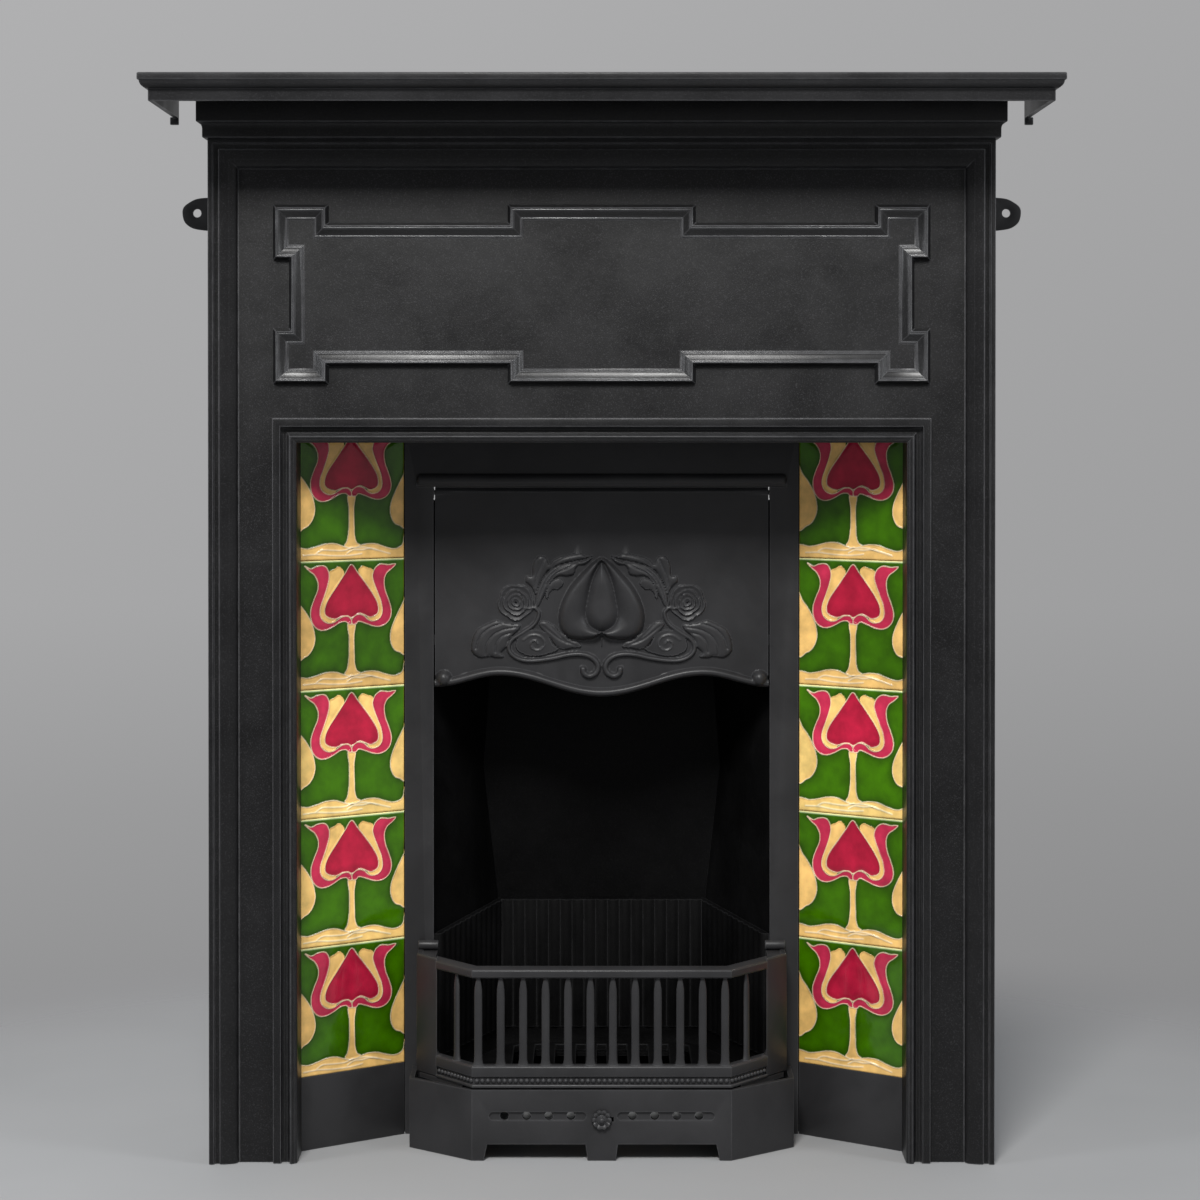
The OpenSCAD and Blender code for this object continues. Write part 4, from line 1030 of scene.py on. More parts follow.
def hood_edge(x):
    """Height of the hood's serpentine lower edge."""
    crest, rise, fall = 123, 25, 14
    x = np.abs(x)
    near = rise * (1 - np.cos(np.pi * x / crest)) / 2
    far = rise - fall * (1 - np.cos(np.pi * (x - crest) / (HOOD_HALF - crest))) / 2
    return HOOD_LOW + np.where(x < crest, near, far)


def carved(points):
    """Points of the hood's ornament, from its drawing to millimetres."""
    p = np.array(points, float)
    axis, foot, scale = 793, 958, 3.5955
    return np.column_stack([(p[:, 0] - axis) / scale, HOOD_LOW + (foot - p[:, 1]) / scale])


def hood_relief(points, height):
    """Height of the bud, leaves, roses and stems over the plate, in millimetres."""
    p = np.column_stack([-np.abs(points[:, 0]), points[:, 1]])

    def outline(line):
        return flowing(carved(line), True, 5)

    def line(run):
        return flowing(carved(run), False, 6)
    h = np.zeros(len(p))
    leaves = [
        (1.9, [(757, 343), (725, 347), (690, 331), (655, 341), (612, 350), (585, 366), (564, 384),
               (548, 352), (522, 346), (503, 365), (493, 396), (490, 430), (470, 432), (462, 455),
               (478, 470), (495, 490), (505, 512), (520, 470), (540, 432), (570, 402), (610, 381),
               (660, 368), (710, 358)]),
        (2.2, [(757, 347), (722, 380), (690, 385), (680, 402), (672, 425), (640, 433), (610, 430),
               (585, 445), (565, 470), (550, 500), (535, 532), (520, 560), (502, 574), (505, 540),
               (510, 505), (525, 465), (546, 432), (576, 402), (616, 384), (665, 371),
               (715, 361)]),
        (1.5, [(618, 446), (626, 466), (605, 490), (582, 490), (566, 506), (556, 532), (548, 515),
               (560, 480), (580, 455), (600, 445)]),
        (1.2, [(420, 745), (430, 700), (470, 672), (520, 668), (560, 690), (580, 730), (606, 752),
               (560, 772), (500, 782), (450, 772)]),
        (1.8, [(520, 642), (545, 628), (575, 643), (592, 652), (605, 672), (630, 686), (655, 708),
               (690, 720), (704, 742), (670, 745), (640, 752), (600, 742), (572, 706),
               (545, 676)]),
        (2.0, [(440, 645), (400, 640), (360, 632), (330, 626), (290, 644), (262, 658), (240, 684),
               (228, 715), (224, 750), (240, 776), (272, 790), (306, 782), (336, 790), (368, 784),
               (352, 765), (378, 742), (386, 715), (404, 690), (430, 667)])]
    for tall, shape in leaves:
        h = np.maximum(h, pillow(p, outline(shape), tall * height, 1.15))
    veins = [[(752, 350), (680, 375), (610, 396), (560, 440), (530, 500), (510, 560)],
             [(745, 355), (690, 375), (640, 400), (590, 425), (552, 470)],
             [(545, 352), (530, 390), (512, 430), (502, 480)],
             [(700, 340), (640, 352), (590, 376), (556, 412)],
             [(432, 655), (370, 665), (320, 690), (292, 730), (286, 775)],
             [(400, 680), (360, 694), (336, 724), (330, 765)],
             [(355, 640), (300, 662), (262, 700), (246, 750)],
             [(535, 648), (575, 680), (620, 712), (690, 738)],
             [(560, 640), (600, 680), (640, 720)]]
    for run in veins:
        away = near_line(p, line(run))[0]
        h = np.where(h > 0.25, h - 0.95 * height * bell(away, 0.95), h)
    curl = line([(452, 712), (490, 690), (532, 700), (545, 732), (520, 756), (492, 748),
                 (486, 724), (505, 714), (516, 728)])
    h = np.maximum(h, 1.2 * height * (h > 0) + stem(p, curl, 1.4, 1.0, 0.9 * height))
    # rose: rings of cupped petals, each ring turned against the next and higher to the heart
    centre = carved([(420, 548)])[0]
    offset = p - centre
    far = np.hypot(*offset.T)
    angle = np.arctan2(offset[:, 1], offset[:, 0])
    # radius, petals, turn and rise of each ring
    rings = [(21.5, 5, 0.3, 1.4), (15.5, 4, 1.4, 1.9), (10.2, 3, 2.9, 2.3), (5.4, 2, 0.8, 2.6),
             (1.2, 1, 0.0, 2.2)]
    edges = [r * (1 + 0.11 * np.abs(np.cos(n * (angle + turn) / 2)) - 0.07)
             for r, n, turn, _ in rings]
    for i, (_, _, _, rise) in enumerate(rings[:-1]):
        cup = np.clip((far - edges[i + 1]) / (edges[i] - edges[i + 1]), 0, 1)
        lip = height * (rise - 0.9 + 1.3 * cup ** 2) * np.clip((1 - cup) * 9, 0, 1) ** 0.5
        h = np.where((far < edges[i]) & (far >= edges[i + 1]), np.maximum(h, lip), h)
    # stem from the rose, round the loop and along to its curled foot
    run = line([(455, 572), (478, 574), (502, 572), (520, 596), (502, 640), (452, 678), (405, 708),
                (388, 742), (402, 775), (445, 798), (505, 801), (580, 791), (650, 776), (708, 774),
                (752, 789), (776, 820), (770, 852), (742, 868), (718, 858), (712, 838)])
    h = np.maximum(h, stem(p, run, 1.9, 3.9, 2.8 * height))
    # bud: two outer lobes, a middle pair and a plain petal between them
    bud = outline([(792, 352), (765, 366), (735, 390), (700, 425), (655, 478), (622, 540),
                   (606, 600), (612, 658), (640, 694), (688, 711), (738, 710), (772, 699),
                   (793, 682), (814, 699), (848, 710), (898, 711), (946, 694), (974, 658),
                   (980, 600), (964, 540), (931, 478), (886, 425), (851, 390), (821, 366)])
    h = np.maximum(h, pillow(p, bud, 2.4 * height, 1.8))
    rim = near_line(p, bud, True)[0]
    middle = outline([(793, 366), (772, 395), (748, 458), (730, 540), (722, 600), (736, 642),
                      (766, 666), (793, 674), (820, 666), (850, 642), (864, 600), (856, 540),
                      (838, 458), (814, 395)])
    away = near_line(p, middle, True)[0]
    round_middle = 4.6 * height * np.sin(np.pi / 2 * np.clip(away / 15, 0, 1))
    round_lobe = 3.8 * height * np.sin(np.pi * rim / (rim + away + 1e-6)) ** 0.8
    h += np.where(within(p, middle), round_middle, np.where(within(p, bud), round_lobe, 0))
    drip = line([(793, 700), (793, 738)])
    h = np.maximum(h, stem(p, drip, 1.6, 0.6, 1.4 * height))
    return h


def spaced(low, fine_low, fine_high, high, fine, coarse):
    """Positions that are close together in the middle stretch."""
    return np.concatenate([
        np.linspace(low, fine_low, max(2, int((fine_low - low) / coarse)), endpoint=False),
        np.linspace(fine_low, fine_high, int((fine_high - fine_low) / fine), endpoint=False),
        np.linspace(fine_high, high, max(2, int((high - fine_high) / coarse) + 1))])


class FIREPLACE_OT_hood(bpy.types.Operator):
    """Builds the smoke hood with its floral relief"""
    bl_idname = "fireplace.hood"
    bl_label = "Smoke hood"

    def execute(self, context):
        sizes = context.scene.fireplace_sizes
        xs = spaced(-HOOD_HALF, -196, 196, HOOD_HALF, 1.2, 1.5)
        ups = spaced(0, 1, 172, HINGE_Z - HOOD_LOW, 1.2, 6)
        hood, column, row = sheet_of_grid("hood_casting", len(xs) - 1, len(ups) - 1)
        x = xs[column]
        low = hood_edge(x)
        z = low + ups[row] / ups[-1] * (HINGE_Z + 1 - low)
        relief = hood_relief(np.column_stack([x, z]), sizes.hood_relief / MM)
        # the rolled lower edge, and the ball at each end of it
        roll_half, roll_rise = 5.0, 7.0
        ball_x, ball_up, ball_radius, ball_rise = 191.5, 21.5, 9.8, 11.0
        relief = np.maximum(relief, roll_rise * dome(z - low - roll_half, roll_half))
        for side in (-1, 1):
            away = np.hypot(x - side * ball_x, z - (HOOD_LOW + ball_up))
            relief = np.maximum(relief, ball_rise * dome(away, ball_radius))
        depth = hood_front(x) - relief
        set_points(hood, np.column_stack([x * MM, (depth + FRONT_Y) * MM, z * MM]))
        # the plate's back is plain
        thick = 5
        edit(hood)
        bpy.ops.mesh.select_all(action="SELECT")
        bpy.ops.mesh.extrude_region_move()
        bm = bmesh.from_edit_mesh(hood.data)
        for v in bm.verts:
            if v.select:
                v.co.y = (hood_front(v.co.x / MM) + thick + FRONT_Y) * MM
        bmesh.update_edit_mesh(hood.data)
        bpy.ops.mesh.select_mode(type="FACE")
        bpy.ops.mesh.dissolve_limited(angle_limit=math.radians(0.6))
        tidy_mesh(hood, 1e-7)
        roll = rod("hood_roll", at(-HOOD_HALF, HINGE_D, HINGE_Z), at(HOOD_HALF, HINGE_D, HINGE_Z),
                   7.2 * MM, 32, 0.8 * MM)
        web = block("hood_web", -HOOD_HALF + 1, HOOD_HALF - 1, INSERT_D + 3.9, HINGE_D,
                    HINGE_Z - 6, HINGE_Z + 2)
        hood = joined("hood_casting", [hood, roll, web])
        dress(hood, "hood", "Insert iron", smooth=50, nodes=["hood"])
        return {"FINISHED"}


# ------------------------------------------------------------------ front bars
# The bay in plan: the right corner of its front, and the end of its right canted side.
BAY_FRONT, BAY_FRONT_D = 152.0, 21.0
BAY_END, BAY_END_D = 223.0, 112.0
CANT_RUN = (BAY_END - BAY_FRONT, BAY_END_D - BAY_FRONT_D)
CANT = tuple(part / math.hypot(*CANT_RUN) for part in CANT_RUN)
RAIL_END = 197
STILE_EDGE = 196


def bay(k):
    """Corner and joint of the right half of the bay's outline, k in from its outer line."""
    lean = math.atan2(*CANT)
    return ((BAY_FRONT - k * math.tan((math.pi / 2 - lean) / 2), BAY_FRONT_D + k),
            (BAY_END - k, BAY_END_D + k * math.tan(lean / 2)))


def cant_at(k, x):
    """The point of the right canted side at x, k in from its outer line."""
    corner, joint = bay(k)
    slope = (joint[1] - corner[1]) / (joint[0] - corner[0])
    return x, corner[1] + (x - corner[0]) * slope


def along_bay(name, profile, runs, side=1):
    """A profile of (k, z) drawn out through the spots (x, depth) that it has at each turn."""
    return swept(name, [[at(side * x, d, z) for (x, d), (_, z) in zip(spots, profile)]
                        for spots in runs])


def rail(name, profile):
    """A rail along the front and both canted sides."""
    ends = [cant_at(k, RAIL_END) for k, _ in profile]
    corners = [bay(k)[0] for k, _ in profile]
    mirrored = [[(-x, d) for x, d in run] for run in (ends, corners)]
    return along_bay(name, profile, [*mirrored, corners, ends])


def stile(side):
    """The plain stile and return at one end."""
    profile = [(1, 86), (1, 224), (2.2, 226), (7, 226), (8, 225), (8, 85), (7, 84), (2.2, 84)]
    inner = [cant_at(k, STILE_EDGE) for k, _ in profile]
    joints = [bay(k)[1] for k, _ in profile]
    back = [(x, INSERT_D - 0.3) for x, _ in joints]
    return along_bay("bars_stile", profile, [inner, joints, back], side)


def stile_corner(side, foot, r, up):
    """The rounded corner of a window, r wide; up is 1 over the sill and -1 under the rail."""
    turns = [math.radians(11.25 * i) for i in range(9)]
    arc = [(r - r * math.sin(t), r - r * math.cos(t)) for t in turns]
    flat = [(-2, -2), (r, -2)] + arc + [(-2, r)]

    def loop(k):
        x0, d0 = cant_at(k, STILE_EDGE + 0.5)
        return [at(side * (x0 - s * CANT[0]), d0 - s * CANT[1], foot + up * h) for s, h in flat]
    return swept("stile_corner", [loop(2.0), loop(7.5)])


def level_plate(name, side, plan, low, high):
    """A level plate at one end of the bars."""
    return swept(name, [[at(side * x, d, z) for x, d in plan] for z in (low, high)])


def end_shelf(side):
    """The flat web that closes the top of each end behind the stile."""
    inner, outer, back = 198, 219, INSERT_D - 14.7
    plan = [cant_at(4, inner), cant_at(4, 216), (outer, 118), (outer, back), (inner, back)]
    return level_plate("end_shelf", side, plan, 218, 225.4)


def skirt(side):
    """The lip under each canted side that closes the view behind the ash cover."""
    plan = [cant_at(2, 164), cant_at(2, 218), cant_at(6, 214), cant_at(6, 164)]
    return level_plate("skirt", side, plan, 78.5, 85)


def bar_spots():
    """Middle of each upright bar and the way its broad face runs."""
    count, pitch, inset = 14, 26.3, 6
    spots = []
    for i in range(count):
        x = (i - (count - 1) / 2) * pitch
        past = max(0, abs(x) - BAY_FRONT + 2.4)
        run = (CANT[0], math.copysign(CANT[1], x)) if past else (1.0, 0.0)
        spots.append((x, BAY_FRONT_D + inset + past * CANT[1] / CANT[0], run))
    return spots


def upright_bars(r):
    """One flat oval bar of radius r, flared at its foot and pointed at its top, then copied."""
    flatness, sides = 0.6, 20
    shape = [(r + 2.0, 109), (r + 2.0, 111), (r + 0.9, 113), (r + 0.2, 117), (r, 125), (r, 190),
             (r * 0.95, 199), (r * 0.72, 206), (r * 0.5, 212), (r * 0.5, 216)]
    turns = [2 * math.pi * i / sides for i in range(sides)]
    loops = [[Vector((wide * MM * math.cos(a), flatness * wide * MM * math.sin(a), z * MM))
              for a in turns] for wide, z in shape]
    model = swept("bar", loops)
    bars = []
    for x, d, (c, s) in bar_spots():
        def stand(co, base=at(x, d, 0), c=c, s=s):
            return base + Vector((c * co.x - s * co.y, s * co.x + c * co.y, co.z))
        bars.append(copy_of(model, "bar_copy", stand))
    bpy.data.objects.remove(model)
    return bars


def hook(side):
    """The roll that hangs on the jamb's lug at one end, with its tongue and web."""
    d, z, arris = INSERT_D - 9, 231, 0.5 * MM
    roll = rod("hook", at(side * 197.2, d, z), at(side * 221.8, d, z), 6 * MM, 28, 1.4 * MM)
    tongue = block("hook_tongue", *sorted((side * 198, side * 221)), d, INSERT_D - 3.4, 216, z,
                   arris)
    web = block("hook_web", *sorted((side * 216.8, side * 221.6)), INSERT_D - 12.5, INSERT_D - 4,
                217, z, arris)
    return [roll, tongue, web]


def bead_row(pitch):
    """The row of beads under the bars, along the front and both canted sides."""
    radius, k, z, reach = 2.9, 2.7, 92.6, 194.5
    deselect_all()
    bpy.ops.mesh.primitive_uv_sphere_add(segments=12, ring_count=8, radius=radius * MM)
    bead = bpy.context.object
    corner, joint = bay(k)
    count = int(2 * corner[0] / pitch)
    spots = [((i - (count - 1) / 2) * pitch, corner[1]) for i in range(count)]
    step = pitch / math.hypot(joint[0] - corner[0], joint[1] - corner[1])
    i = 0.5
    while corner[0] + (joint[0] - corner[0]) * step * i < reach:
        x = corner[0] + (joint[0] - corner[0]) * step * i
        d = corner[1] + (joint[1] - corner[1]) * step * i
        spots += [(x, d), (-x, d)]
        i += 1
    beads = [copy_of(bead, "bead_copy", lambda co, base=at(x, d, z): co + base)
             for x, d in spots]
    bpy.data.objects.remove(bead)
    return joined("bead_row", beads)


class FIREPLACE_OT_bars(bpy.types.Operator):
    """Builds the bay-shaped front bars with their bead row and hooks"""
    bl_idname = "fireplace.bars"
    bl_label = "Front bars"

    def execute(self, context):
        sizes = context.scene.fireplace_sizes
        pieces = [
            rail("top_rail", [(0, 215), (0, 221.5), (1.2, 223), (8, 225.6), (11, 226), (12, 225),
                              (12, 214), (11, 213), (1.5, 213)]),
            rail("sill", [(0, 98), (0, 108.5), (2, 110.6), (10, 111), (12, 110), (12, 96),
                          (2.5, 96)]),
            rail("channel", [(3.2, 87.5), (3.2, 98), (11, 98), (11, 87.5)]),
            rail("foot_fillet", [(0.5, 85), (0.5, 87), (1.2, 88), (12, 88), (12, 84), (1.5, 84)])]
        for side in (-1, 1):
            pieces += [stile(side), end_shelf(side)]
        for p in pieces:
            round_arrises(p, sizes.arris * 0.5, 2)
        for side in (-1, 1):
            pieces += [stile_corner(side, 110.5, 10.0, 1), stile_corner(side, 213.5, 4.0, -1),
                       skirt(side)]
        pieces += upright_bars(sizes.bar_radius / MM)
        bars = joined("front_bars_casting", pieces)
        bars = joined("front_bars_casting", [bars] + hook(-1) + hook(1))
        dress(bars, "front_bars", "Insert iron", smooth=40, nodes=["front_bars"])
        row = bead_row(sizes.bead_pitch / MM)
        dress(row, "front_bars", "Insert iron", smooth=80)
        return {"FINISHED"}


# ------------------------------------------------------------------ ash cover
def rosette():
    """The damper's knob: ten petals round a ring and a boss, on its stem."""
    count, r, face_d, z = 80, 12.0, 19, 48

    def ring(radius, depth, petals=0.0, rise=0.0):
        points = []
        for i in range(count):
            a = 2 * math.pi * i / count
            lobe = abs(math.cos(5 * a))
            rad = radius * (1 - petals * (1 - lobe) ** 1.5)
            points.append(at(rad * math.cos(a), face_d - depth - rise * lobe ** 0.7,
                             z + rad * math.sin(a)))
        return points
    rings = [(9, 0.4), (10.6, 0.6, 0.10), (r, 2.2, 0.16), (r * 0.97, 3.6, 0.14, 0.5),
             (r * 0.88, 4.2, 0.10, 1.1), (r * 0.74, 4.0, 0.05, 1.3), (r * 0.6, 3.4, 0.02, 0.8),
             (r * 0.5, 3.0, 0, 0.2), (r * 0.46, 3.4), (r * 0.42, 4.6), (r * 0.36, 5.2),
             (r * 0.31, 4.8), (r * 0.29, 4.9), (r * 0.27, 6.2), (r * 0.2, 7.3), (r * 0.1, 7.9),
             (r * 0.02, 8.0)]
    knob = swept("damper_rosette", [ring(*given) for given in rings])
    knob_stem = rod("knob_stem", at(0, face_d - 3, z), at(0, 28.2, z), 2.5 * MM, 20)
    return joined("damper_rosette", [knob, knob_stem])


class FIREPLACE_OT_ash_cover(bpy.types.Operator):
    """Builds the ash cover, its damper slide and rosette knob"""
    bl_idname = "fireplace.ash_cover"
    bl_label = "Ash cover"

    def execute(self, context):
        sizes = context.scene.fireplace_sizes
        cover = casting_from("ash_cover", "ash_cover_casting", 0)
        # the feet narrow towards the floor, from the first to the second half width
        bm = edit(cover)
        for v in bm.verts:
            x = abs(v.co.x) / MM
            if v.co.z < 0.5 * MM and v.co.y < at(0, 27, 0).y:
                for cast, narrowed in ((134, 138.2), (19, 16.4)):
                    if abs(x - cast) < 1:
                        v.co.x *= narrowed / cast
        bmesh.update_edit_mesh(cover.data)
        bpy.ops.object.mode_set(mode="OBJECT")
        round_arrises(cover, sizes.arris * 1.2, 3)
        dress(cover, "ash_cover", "Insert iron", nodes=["ash_cover"])
        slide = casting_from("damper_slide", "damper_slide_plate", sizes.arris * 0.3, 1)
        dress(slide, "damper", "Grate iron", nodes=["damper_slide"])
        dress(rosette(), "damper", "Insert iron", smooth=40, nodes=["damper_knob"])
        return {"FINISHED"}


class FIREPLACE_OT_fasteners(bpy.types.Operator):
    """Finishes the bolts, nuts, pins and keepers"""
    bl_idname = "fireplace.fasteners"
    bl_label = "Fasteners"

    def execute(self, context):
        for node in ("shelf_bolts", "tray_bolts", "frame_nuts", "back_bolts", "hood_pins",
                     "register_pin", "slide_guides"):
            finish_node(node, "Bolt steel")
        return {"FINISHED"}


# ------------------------------------------------------------------ stage
def backdrop(look):
    """World: a pale backdrop for camera and reflections, a low even light for the rest."""
    world = bpy.data.worlds.new("Studio")
    bpy.context.scene.world = world
    world.use_nodes = True
    tree = world.node_tree
    tree.nodes.clear()
    coords = add_node(tree, "ShaderNodeTexCoord", -900, 200)
    split = add_node(tree, "ShaderNodeSeparateXYZ", -700, 200)
    wire(tree, coords, "Generated", split, "Vector")
    # greys from below the horizon to above it, painted as the light and shade on a lit backdrop,
    # with painted shade towards the right
    height = map_range(tree, -500, 200, (split, "Z"), (-0.30, 0.20))
    ramp = add_node(tree, "ShaderNodeValToRGB", -300, 200)
    feed(tree, ramp.inputs["Fac"], height)
    stops = [(0.0, 168), (0.125, 168), (0.17, 152), (0.22, 147), (0.34, 155), (0.47, 167),
             (0.86, 176), (1.0, 178)]
    elements = ramp.color_ramp.elements
    for i, (place, grey) in ((0, stops[0]), (1, stops[-1])):
        elements[i].position = place
        elements[i].color = linear(grey, grey, grey + 1)
    for place, grey in stops[1:-1]:
        elements.new(place).color = linear(grey, grey, grey + 1)
    across = map_range(tree, -500, -100, (split, "X"), (-0.2, 0.2), (1.0, 0.88))
    wide = add_node(tree, "ShaderNodeVectorMath", 0, 200, operation="SCALE")
    wire(tree, ramp, "Color", wide, 0)
    feed(tree, wide.inputs["Scale"], across)
    seen = add_node(tree, "ShaderNodeBackground", 250, 150)
    wire(tree, wide, 0, seen, "Color")
    # what stands behind the viewer is dim, a little less so on the right
    facing = map_range(tree, -500, 500, (split, "Y"), (-0.45, 0.25), kind="SMOOTHSTEP")
    studio = map_range(tree, -500, 750, (split, "X"), (-0.3, 0.4),
                       (look.studio_glow * 0.7, look.studio_glow * 1.5), "SMOOTHSTEP")
    behind = add_node(tree, "ShaderNodeBackground", 250, 350)
    feed(tree, behind.inputs["Strength"], studio)
    glossy = add_node(tree, "ShaderNodeMixShader", 400, 300)
    feed(tree, glossy.inputs[0], facing)
    wire(tree, behind, 0, glossy, 1)
    wire(tree, seen, 0, glossy, 2)
    even = add_node(tree, "ShaderNodeBackground", 250, -150)
    even.inputs["Color"].default_value = (0.92, 0.95, 1.0, 1.0)
    even.inputs["Strength"].default_value = look.even_light
    light_path = add_node(tree, "ShaderNodeLightPath", -500, 1000)
    shine = arithmetic(tree, "MAXIMUM", -200, 1000, (light_path, "Is Glossy Ray"),
                       (light_path, "Is Transmission Ray"))
    indirect = add_node(tree, "ShaderNodeMixShader", 550, 150)
    wire(tree, shine, 0, indirect, 0)
    wire(tree, even, 0, indirect, 1)
    wire(tree, glossy, 0, indirect, 2)
    mix = add_node(tree, "ShaderNodeMixShader", 500, 0)
    wire(tree, light_path, "Is Camera Ray", mix, 0)
    wire(tree, indirect, 0, mix, 1)
    wire(tree, seen, 0, mix, 2)
    wire(tree, mix, 0, add_node(tree, "ShaderNodeOutputWorld", 700, 0), "Surface")


def floor_finish():
    """Pale floor that fades into the backdrop some way round the object, with painted shade
    towards the right.
    """
    material, tree, shader = new_material("Studio floor")
    coords = add_node(tree, "ShaderNodeTexCoord", -1000, 0)
    length = add_node(tree, "ShaderNodeVectorMath", -800, 0, operation="LENGTH")
    wire(tree, coords, "Object", length, 0)
    fade = map_range(tree, -600, 0, (length, "Value"), (0.62, 1.5), kind="SMOOTHERSTEP")
    cloud = noise(tree, -800, 300, coords.outputs["Object"], 3.0, 3.0, 0.5)
    colour = blend_colours(tree, -500, 300, (cloud, "Fac"), linear(156, 157, 158),
                           linear(166, 166, 167))
    split = add_node(tree, "ShaderNodeSeparateXYZ", -800, 600)
    wire(tree, coords, "Object", split, "Vector")
    # darker towards the right: painted shade, as if the light fell from the left
    across = map_range(tree, -600, 600, (split, "X"), (-0.6, 0.6), (1.03, 0.90))
    wide = add_node(tree, "ShaderNodeVectorMath", -300, 400, operation="SCALE")
    feed(tree, wide.inputs[0], colour)
    feed(tree, wide.inputs["Scale"], across)
    wire(tree, wide, 0, shader, "Base Color")
    shader.inputs["Roughness"].default_value = 0.75
    clear = add_node(tree, "ShaderNodeBsdfTransparent", 0, -250)
    mix = add_node(tree, "ShaderNodeMixShader", 300, 0)
    feed(tree, mix.inputs[0], fade)
    wire(tree, shader, "BSDF", mix, 1)
    wire(tree, clear, "BSDF", mix, 2)
    wire(tree, mix, 0, tree.nodes["Material Output"], "Surface")
    return material


def lamp(name, place, target, width, height, watts, tint):
    """A soft rectangular lamp that faces its target."""
    deselect_all()
    bpy.ops.object.light_add(type="AREA", location=place)
    obj = named(name)
    obj.data.shape = "RECTANGLE"
    obj.data.size, obj.data.size_y = width, height
    obj.data.energy = watts
    obj.data.color = tint
    obj.rotation_euler = (Vector(target) - Vector(place)).to_track_quat("-Z", "Y").to_euler()


class FIREPLACE_OT_stage(bpy.types.Operator):
    """Sets the floor, backdrop, lamps and camera"""
    bl_idname = "fireplace.stage"
    bl_label = "Stage"

    def execute(self, context):
        look = context.scene.fireplace_stage
        backdrop(look)
        deselect_all()
        bpy.ops.mesh.primitive_circle_add(vertices=96, radius=1.7, fill_type="NGON",
                                          location=(0, 0, -0.0003))
        floor = named("studio_floor")
        apply_place(floor)
        floor.data.materials.append(floor_finish())
        warm, cool = (1.0, 0.995, 0.98), (0.93, 0.96, 1.0)
        lamp("key", (-0.5, -4.0, 4.65), (0, -0.02, 0.75), 1.3, 1.3, look.key_light, warm)
        for name, x, watts in (("side_left", -2.8, look.side_light),
                               ("side_right", 2.8, look.side_light * 1.2)):
            lamp(name, (x, -1.7, 2.4), (0, 0, 0.6), 0.7, 1.0, watts, cool)
        # the place, tilt and shift of the photograph's view
        deselect_all()
        bpy.ops.object.camera_add(location=(-0.002, -3.610, 0.881),
                                  rotation=(math.radians(90 - 0.671), 0, 0))
        camera = named("camera")
        camera.data.lens = 90.5
        camera.data.sensor_width = 36
        camera.data.shift_y = -0.131
        camera.data.clip_end = 50
        context.scene.camera = camera
        context.scene.view_settings.view_transform = "Standard"
        return {"FINISHED"}


# ------------------------------------------------------------------ settings and panel
class FireplaceSizes(bpy.types.PropertyGroup):
    """Sizes that a user may change"""
    arris: bpy.props.FloatProperty(
        name="Arris", description="Rounding of the cast edges",
        default=0.0009, min=0.0002, max=0.002, unit="LENGTH")
    inner_moulding: bpy.props.FloatProperty(
        name="Inner moulding", description="Width of the moulding round the opening",
        default=0.028, min=0.022, max=0.034, unit="LENGTH")
    panel_width: bpy.props.FloatProperty(
        name="Panel width", description="Width of the header's stepped moulding",
        default=0.765, min=0.7, max=0.79, unit="LENGTH")
    panel_height: bpy.props.FloatProperty(
        name="Panel height", description="Height of the header's stepped moulding",
        default=0.209, min=0.18, max=0.24, unit="LENGTH")
    tile_relief: bpy.props.FloatProperty(
        name="Tile relief", description="Height of the lines moulded on the tiles",
        default=0.0013, min=0.0002, max=0.002, unit="LENGTH")
    hood_relief: bpy.props.FloatProperty(
        name="Hood relief", description="Height of the hood's lowest leaves",
        default=0.0019, min=0.0005, max=0.0025, unit="LENGTH")
    bar_radius: bpy.props.FloatProperty(
        name="Bar radius", description="Radius of the upright bars",
        default=0.0047, min=0.0035, max=0.0055, unit="LENGTH")
    bead_pitch: bpy.props.FloatProperty(
        name="Bead pitch", description="Pitch of the beads under the bars",
        default=0.0065, min=0.005, max=0.009, unit="LENGTH")


class FireplaceFinishes(bpy.types.PropertyGroup):
    """Colours that a user may change"""
    iron_dark: bpy.props.FloatVectorProperty(
        name="Iron, dark", description="Darker tone of the blacked iron",
        subtype="COLOR", default=(0.008, 0.0079, 0.0083), min=0, max=1)
    iron_light: bpy.props.FloatVectorProperty(
        name="Iron, light", description="Lighter tone of the blacked iron",
        subtype="COLOR", default=(0.0125, 0.0123, 0.013), min=0, max=1)
    # the worn tone is partly the polish of the edges and partly a painted highlight on them
    iron_worn_and_highlight: bpy.props.FloatVectorProperty(
        name="Iron, worn", description="Polished edges of the iron",
        subtype="COLOR", default=(0.165, 0.165, 0.172), min=0, max=1)
    steel: bpy.props.FloatVectorProperty(
        name="Steel", description="Bolts, nuts and pins",
        subtype="COLOR", default=(0.28, 0.28, 0.29), min=0, max=1)
    glaze_green: bpy.props.FloatVectorProperty(
        name="Green glaze", description="Ground of the tiles",
        subtype="COLOR", default=linear(62, 112, 0)[:3], min=0, max=1)
    glaze_rose: bpy.props.FloatVectorProperty(
        name="Rose glaze", description="Heart of the tulip",
        subtype="COLOR", default=linear(188, 30, 62)[:3], min=0, max=1)
    glaze_petal: bpy.props.FloatVectorProperty(
        name="Petal glaze", description="Outer petals",
        subtype="COLOR", default=linear(206, 50, 84)[:3], min=0, max=1)
    glaze_cream: bpy.props.FloatVectorProperty(
        name="Cream glaze", description="Stem, leaves and soil",
        subtype="COLOR", default=linear(255, 206, 124)[:3], min=0, max=1)
    glaze_outline: bpy.props.FloatVectorProperty(
        name="Outline", description="Raised lines where the glaze runs thin",
        subtype="COLOR", default=linear(247, 226, 188)[:3], min=0, max=1)


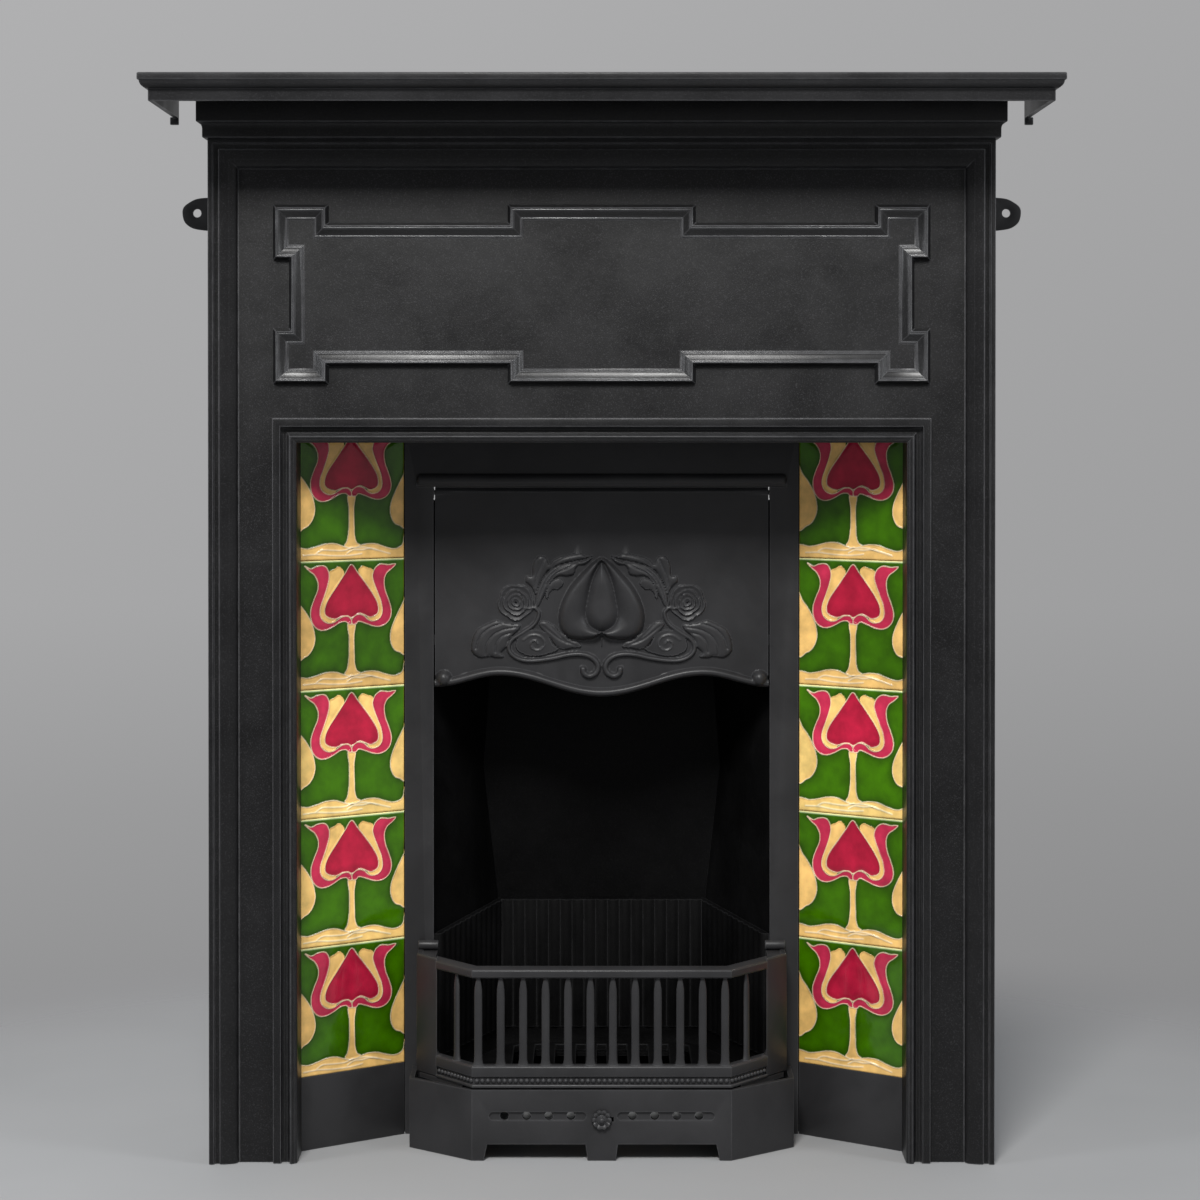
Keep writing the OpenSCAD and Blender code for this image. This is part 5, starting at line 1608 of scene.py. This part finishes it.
class FireplaceStage(bpy.types.PropertyGroup):
    """Light of the stage"""
    key_light: bpy.props.FloatProperty(
        name="Key light", description="Lamp above the viewer",
        default=325.0, min=0, unit="POWER")
    side_light: bpy.props.FloatProperty(
        name="Side lights", description="Soft lamps at both sides",
        default=21.0, min=0, unit="POWER")
    even_light: bpy.props.FloatProperty(
        name="Even light", description="Strength of the surrounding light",
        default=0.33, min=0, max=2)
    studio_glow: bpy.props.FloatProperty(
        name="Studio glow", description="What the iron mirrors from behind the viewer",
        default=0.3, min=0, max=2)


STEPS = ("finishes", "surround", "shelf", "tiles", "insert", "chamber", "basket", "hood", "bars",
         "ash_cover", "fasteners", "stage")


class FIREPLACE_PT_panel(bpy.types.Panel):
    """Lists the building steps"""
    bl_idname = "FIREPLACE_PT_panel"
    bl_label = "Fireplace"
    bl_space_type = "VIEW_3D"
    bl_region_type = "UI"
    bl_category = "Fireplace"

    def draw(self, context):
        for step in STEPS:
            self.layout.operator("fireplace." + step)
        for group in ("fireplace_sizes", "fireplace_finishes", "fireplace_stage"):
            settings = getattr(context.scene, group)
            box = self.layout.box()
            for name in settings.__annotations__:
                box.prop(settings, name)


CLASSES = (FireplaceSizes, FireplaceFinishes, FireplaceStage, FIREPLACE_OT_finishes,
           FIREPLACE_OT_surround, FIREPLACE_OT_shelf, FIREPLACE_OT_tiles, FIREPLACE_OT_insert,
           FIREPLACE_OT_chamber, FIREPLACE_OT_basket, FIREPLACE_OT_hood, FIREPLACE_OT_bars,
           FIREPLACE_OT_ash_cover, FIREPLACE_OT_fasteners, FIREPLACE_OT_stage,
           FIREPLACE_PT_panel)


def register():
    """Makes the classes and their settings known to Blender."""
    for cls in CLASSES:
        bpy.utils.register_class(cls)
    bpy.types.Scene.fireplace_sizes = bpy.props.PointerProperty(type=FireplaceSizes)
    bpy.types.Scene.fireplace_finishes = bpy.props.PointerProperty(type=FireplaceFinishes)
    bpy.types.Scene.fireplace_stage = bpy.props.PointerProperty(type=FireplaceStage)


def unregister():
    """Takes the settings and classes away again."""
    del bpy.types.Scene.fireplace_stage
    del bpy.types.Scene.fireplace_finishes
    del bpy.types.Scene.fireplace_sizes
    for cls in reversed(CLASSES):
        bpy.utils.unregister_class(cls)


def main():
    """Builds everything in order."""
    register()
    deselect_all()
    for step in STEPS:
        getattr(bpy.ops.fireplace, step)()
    bpy.context.view_layer.update()


if __name__ == "__main__":
    main()
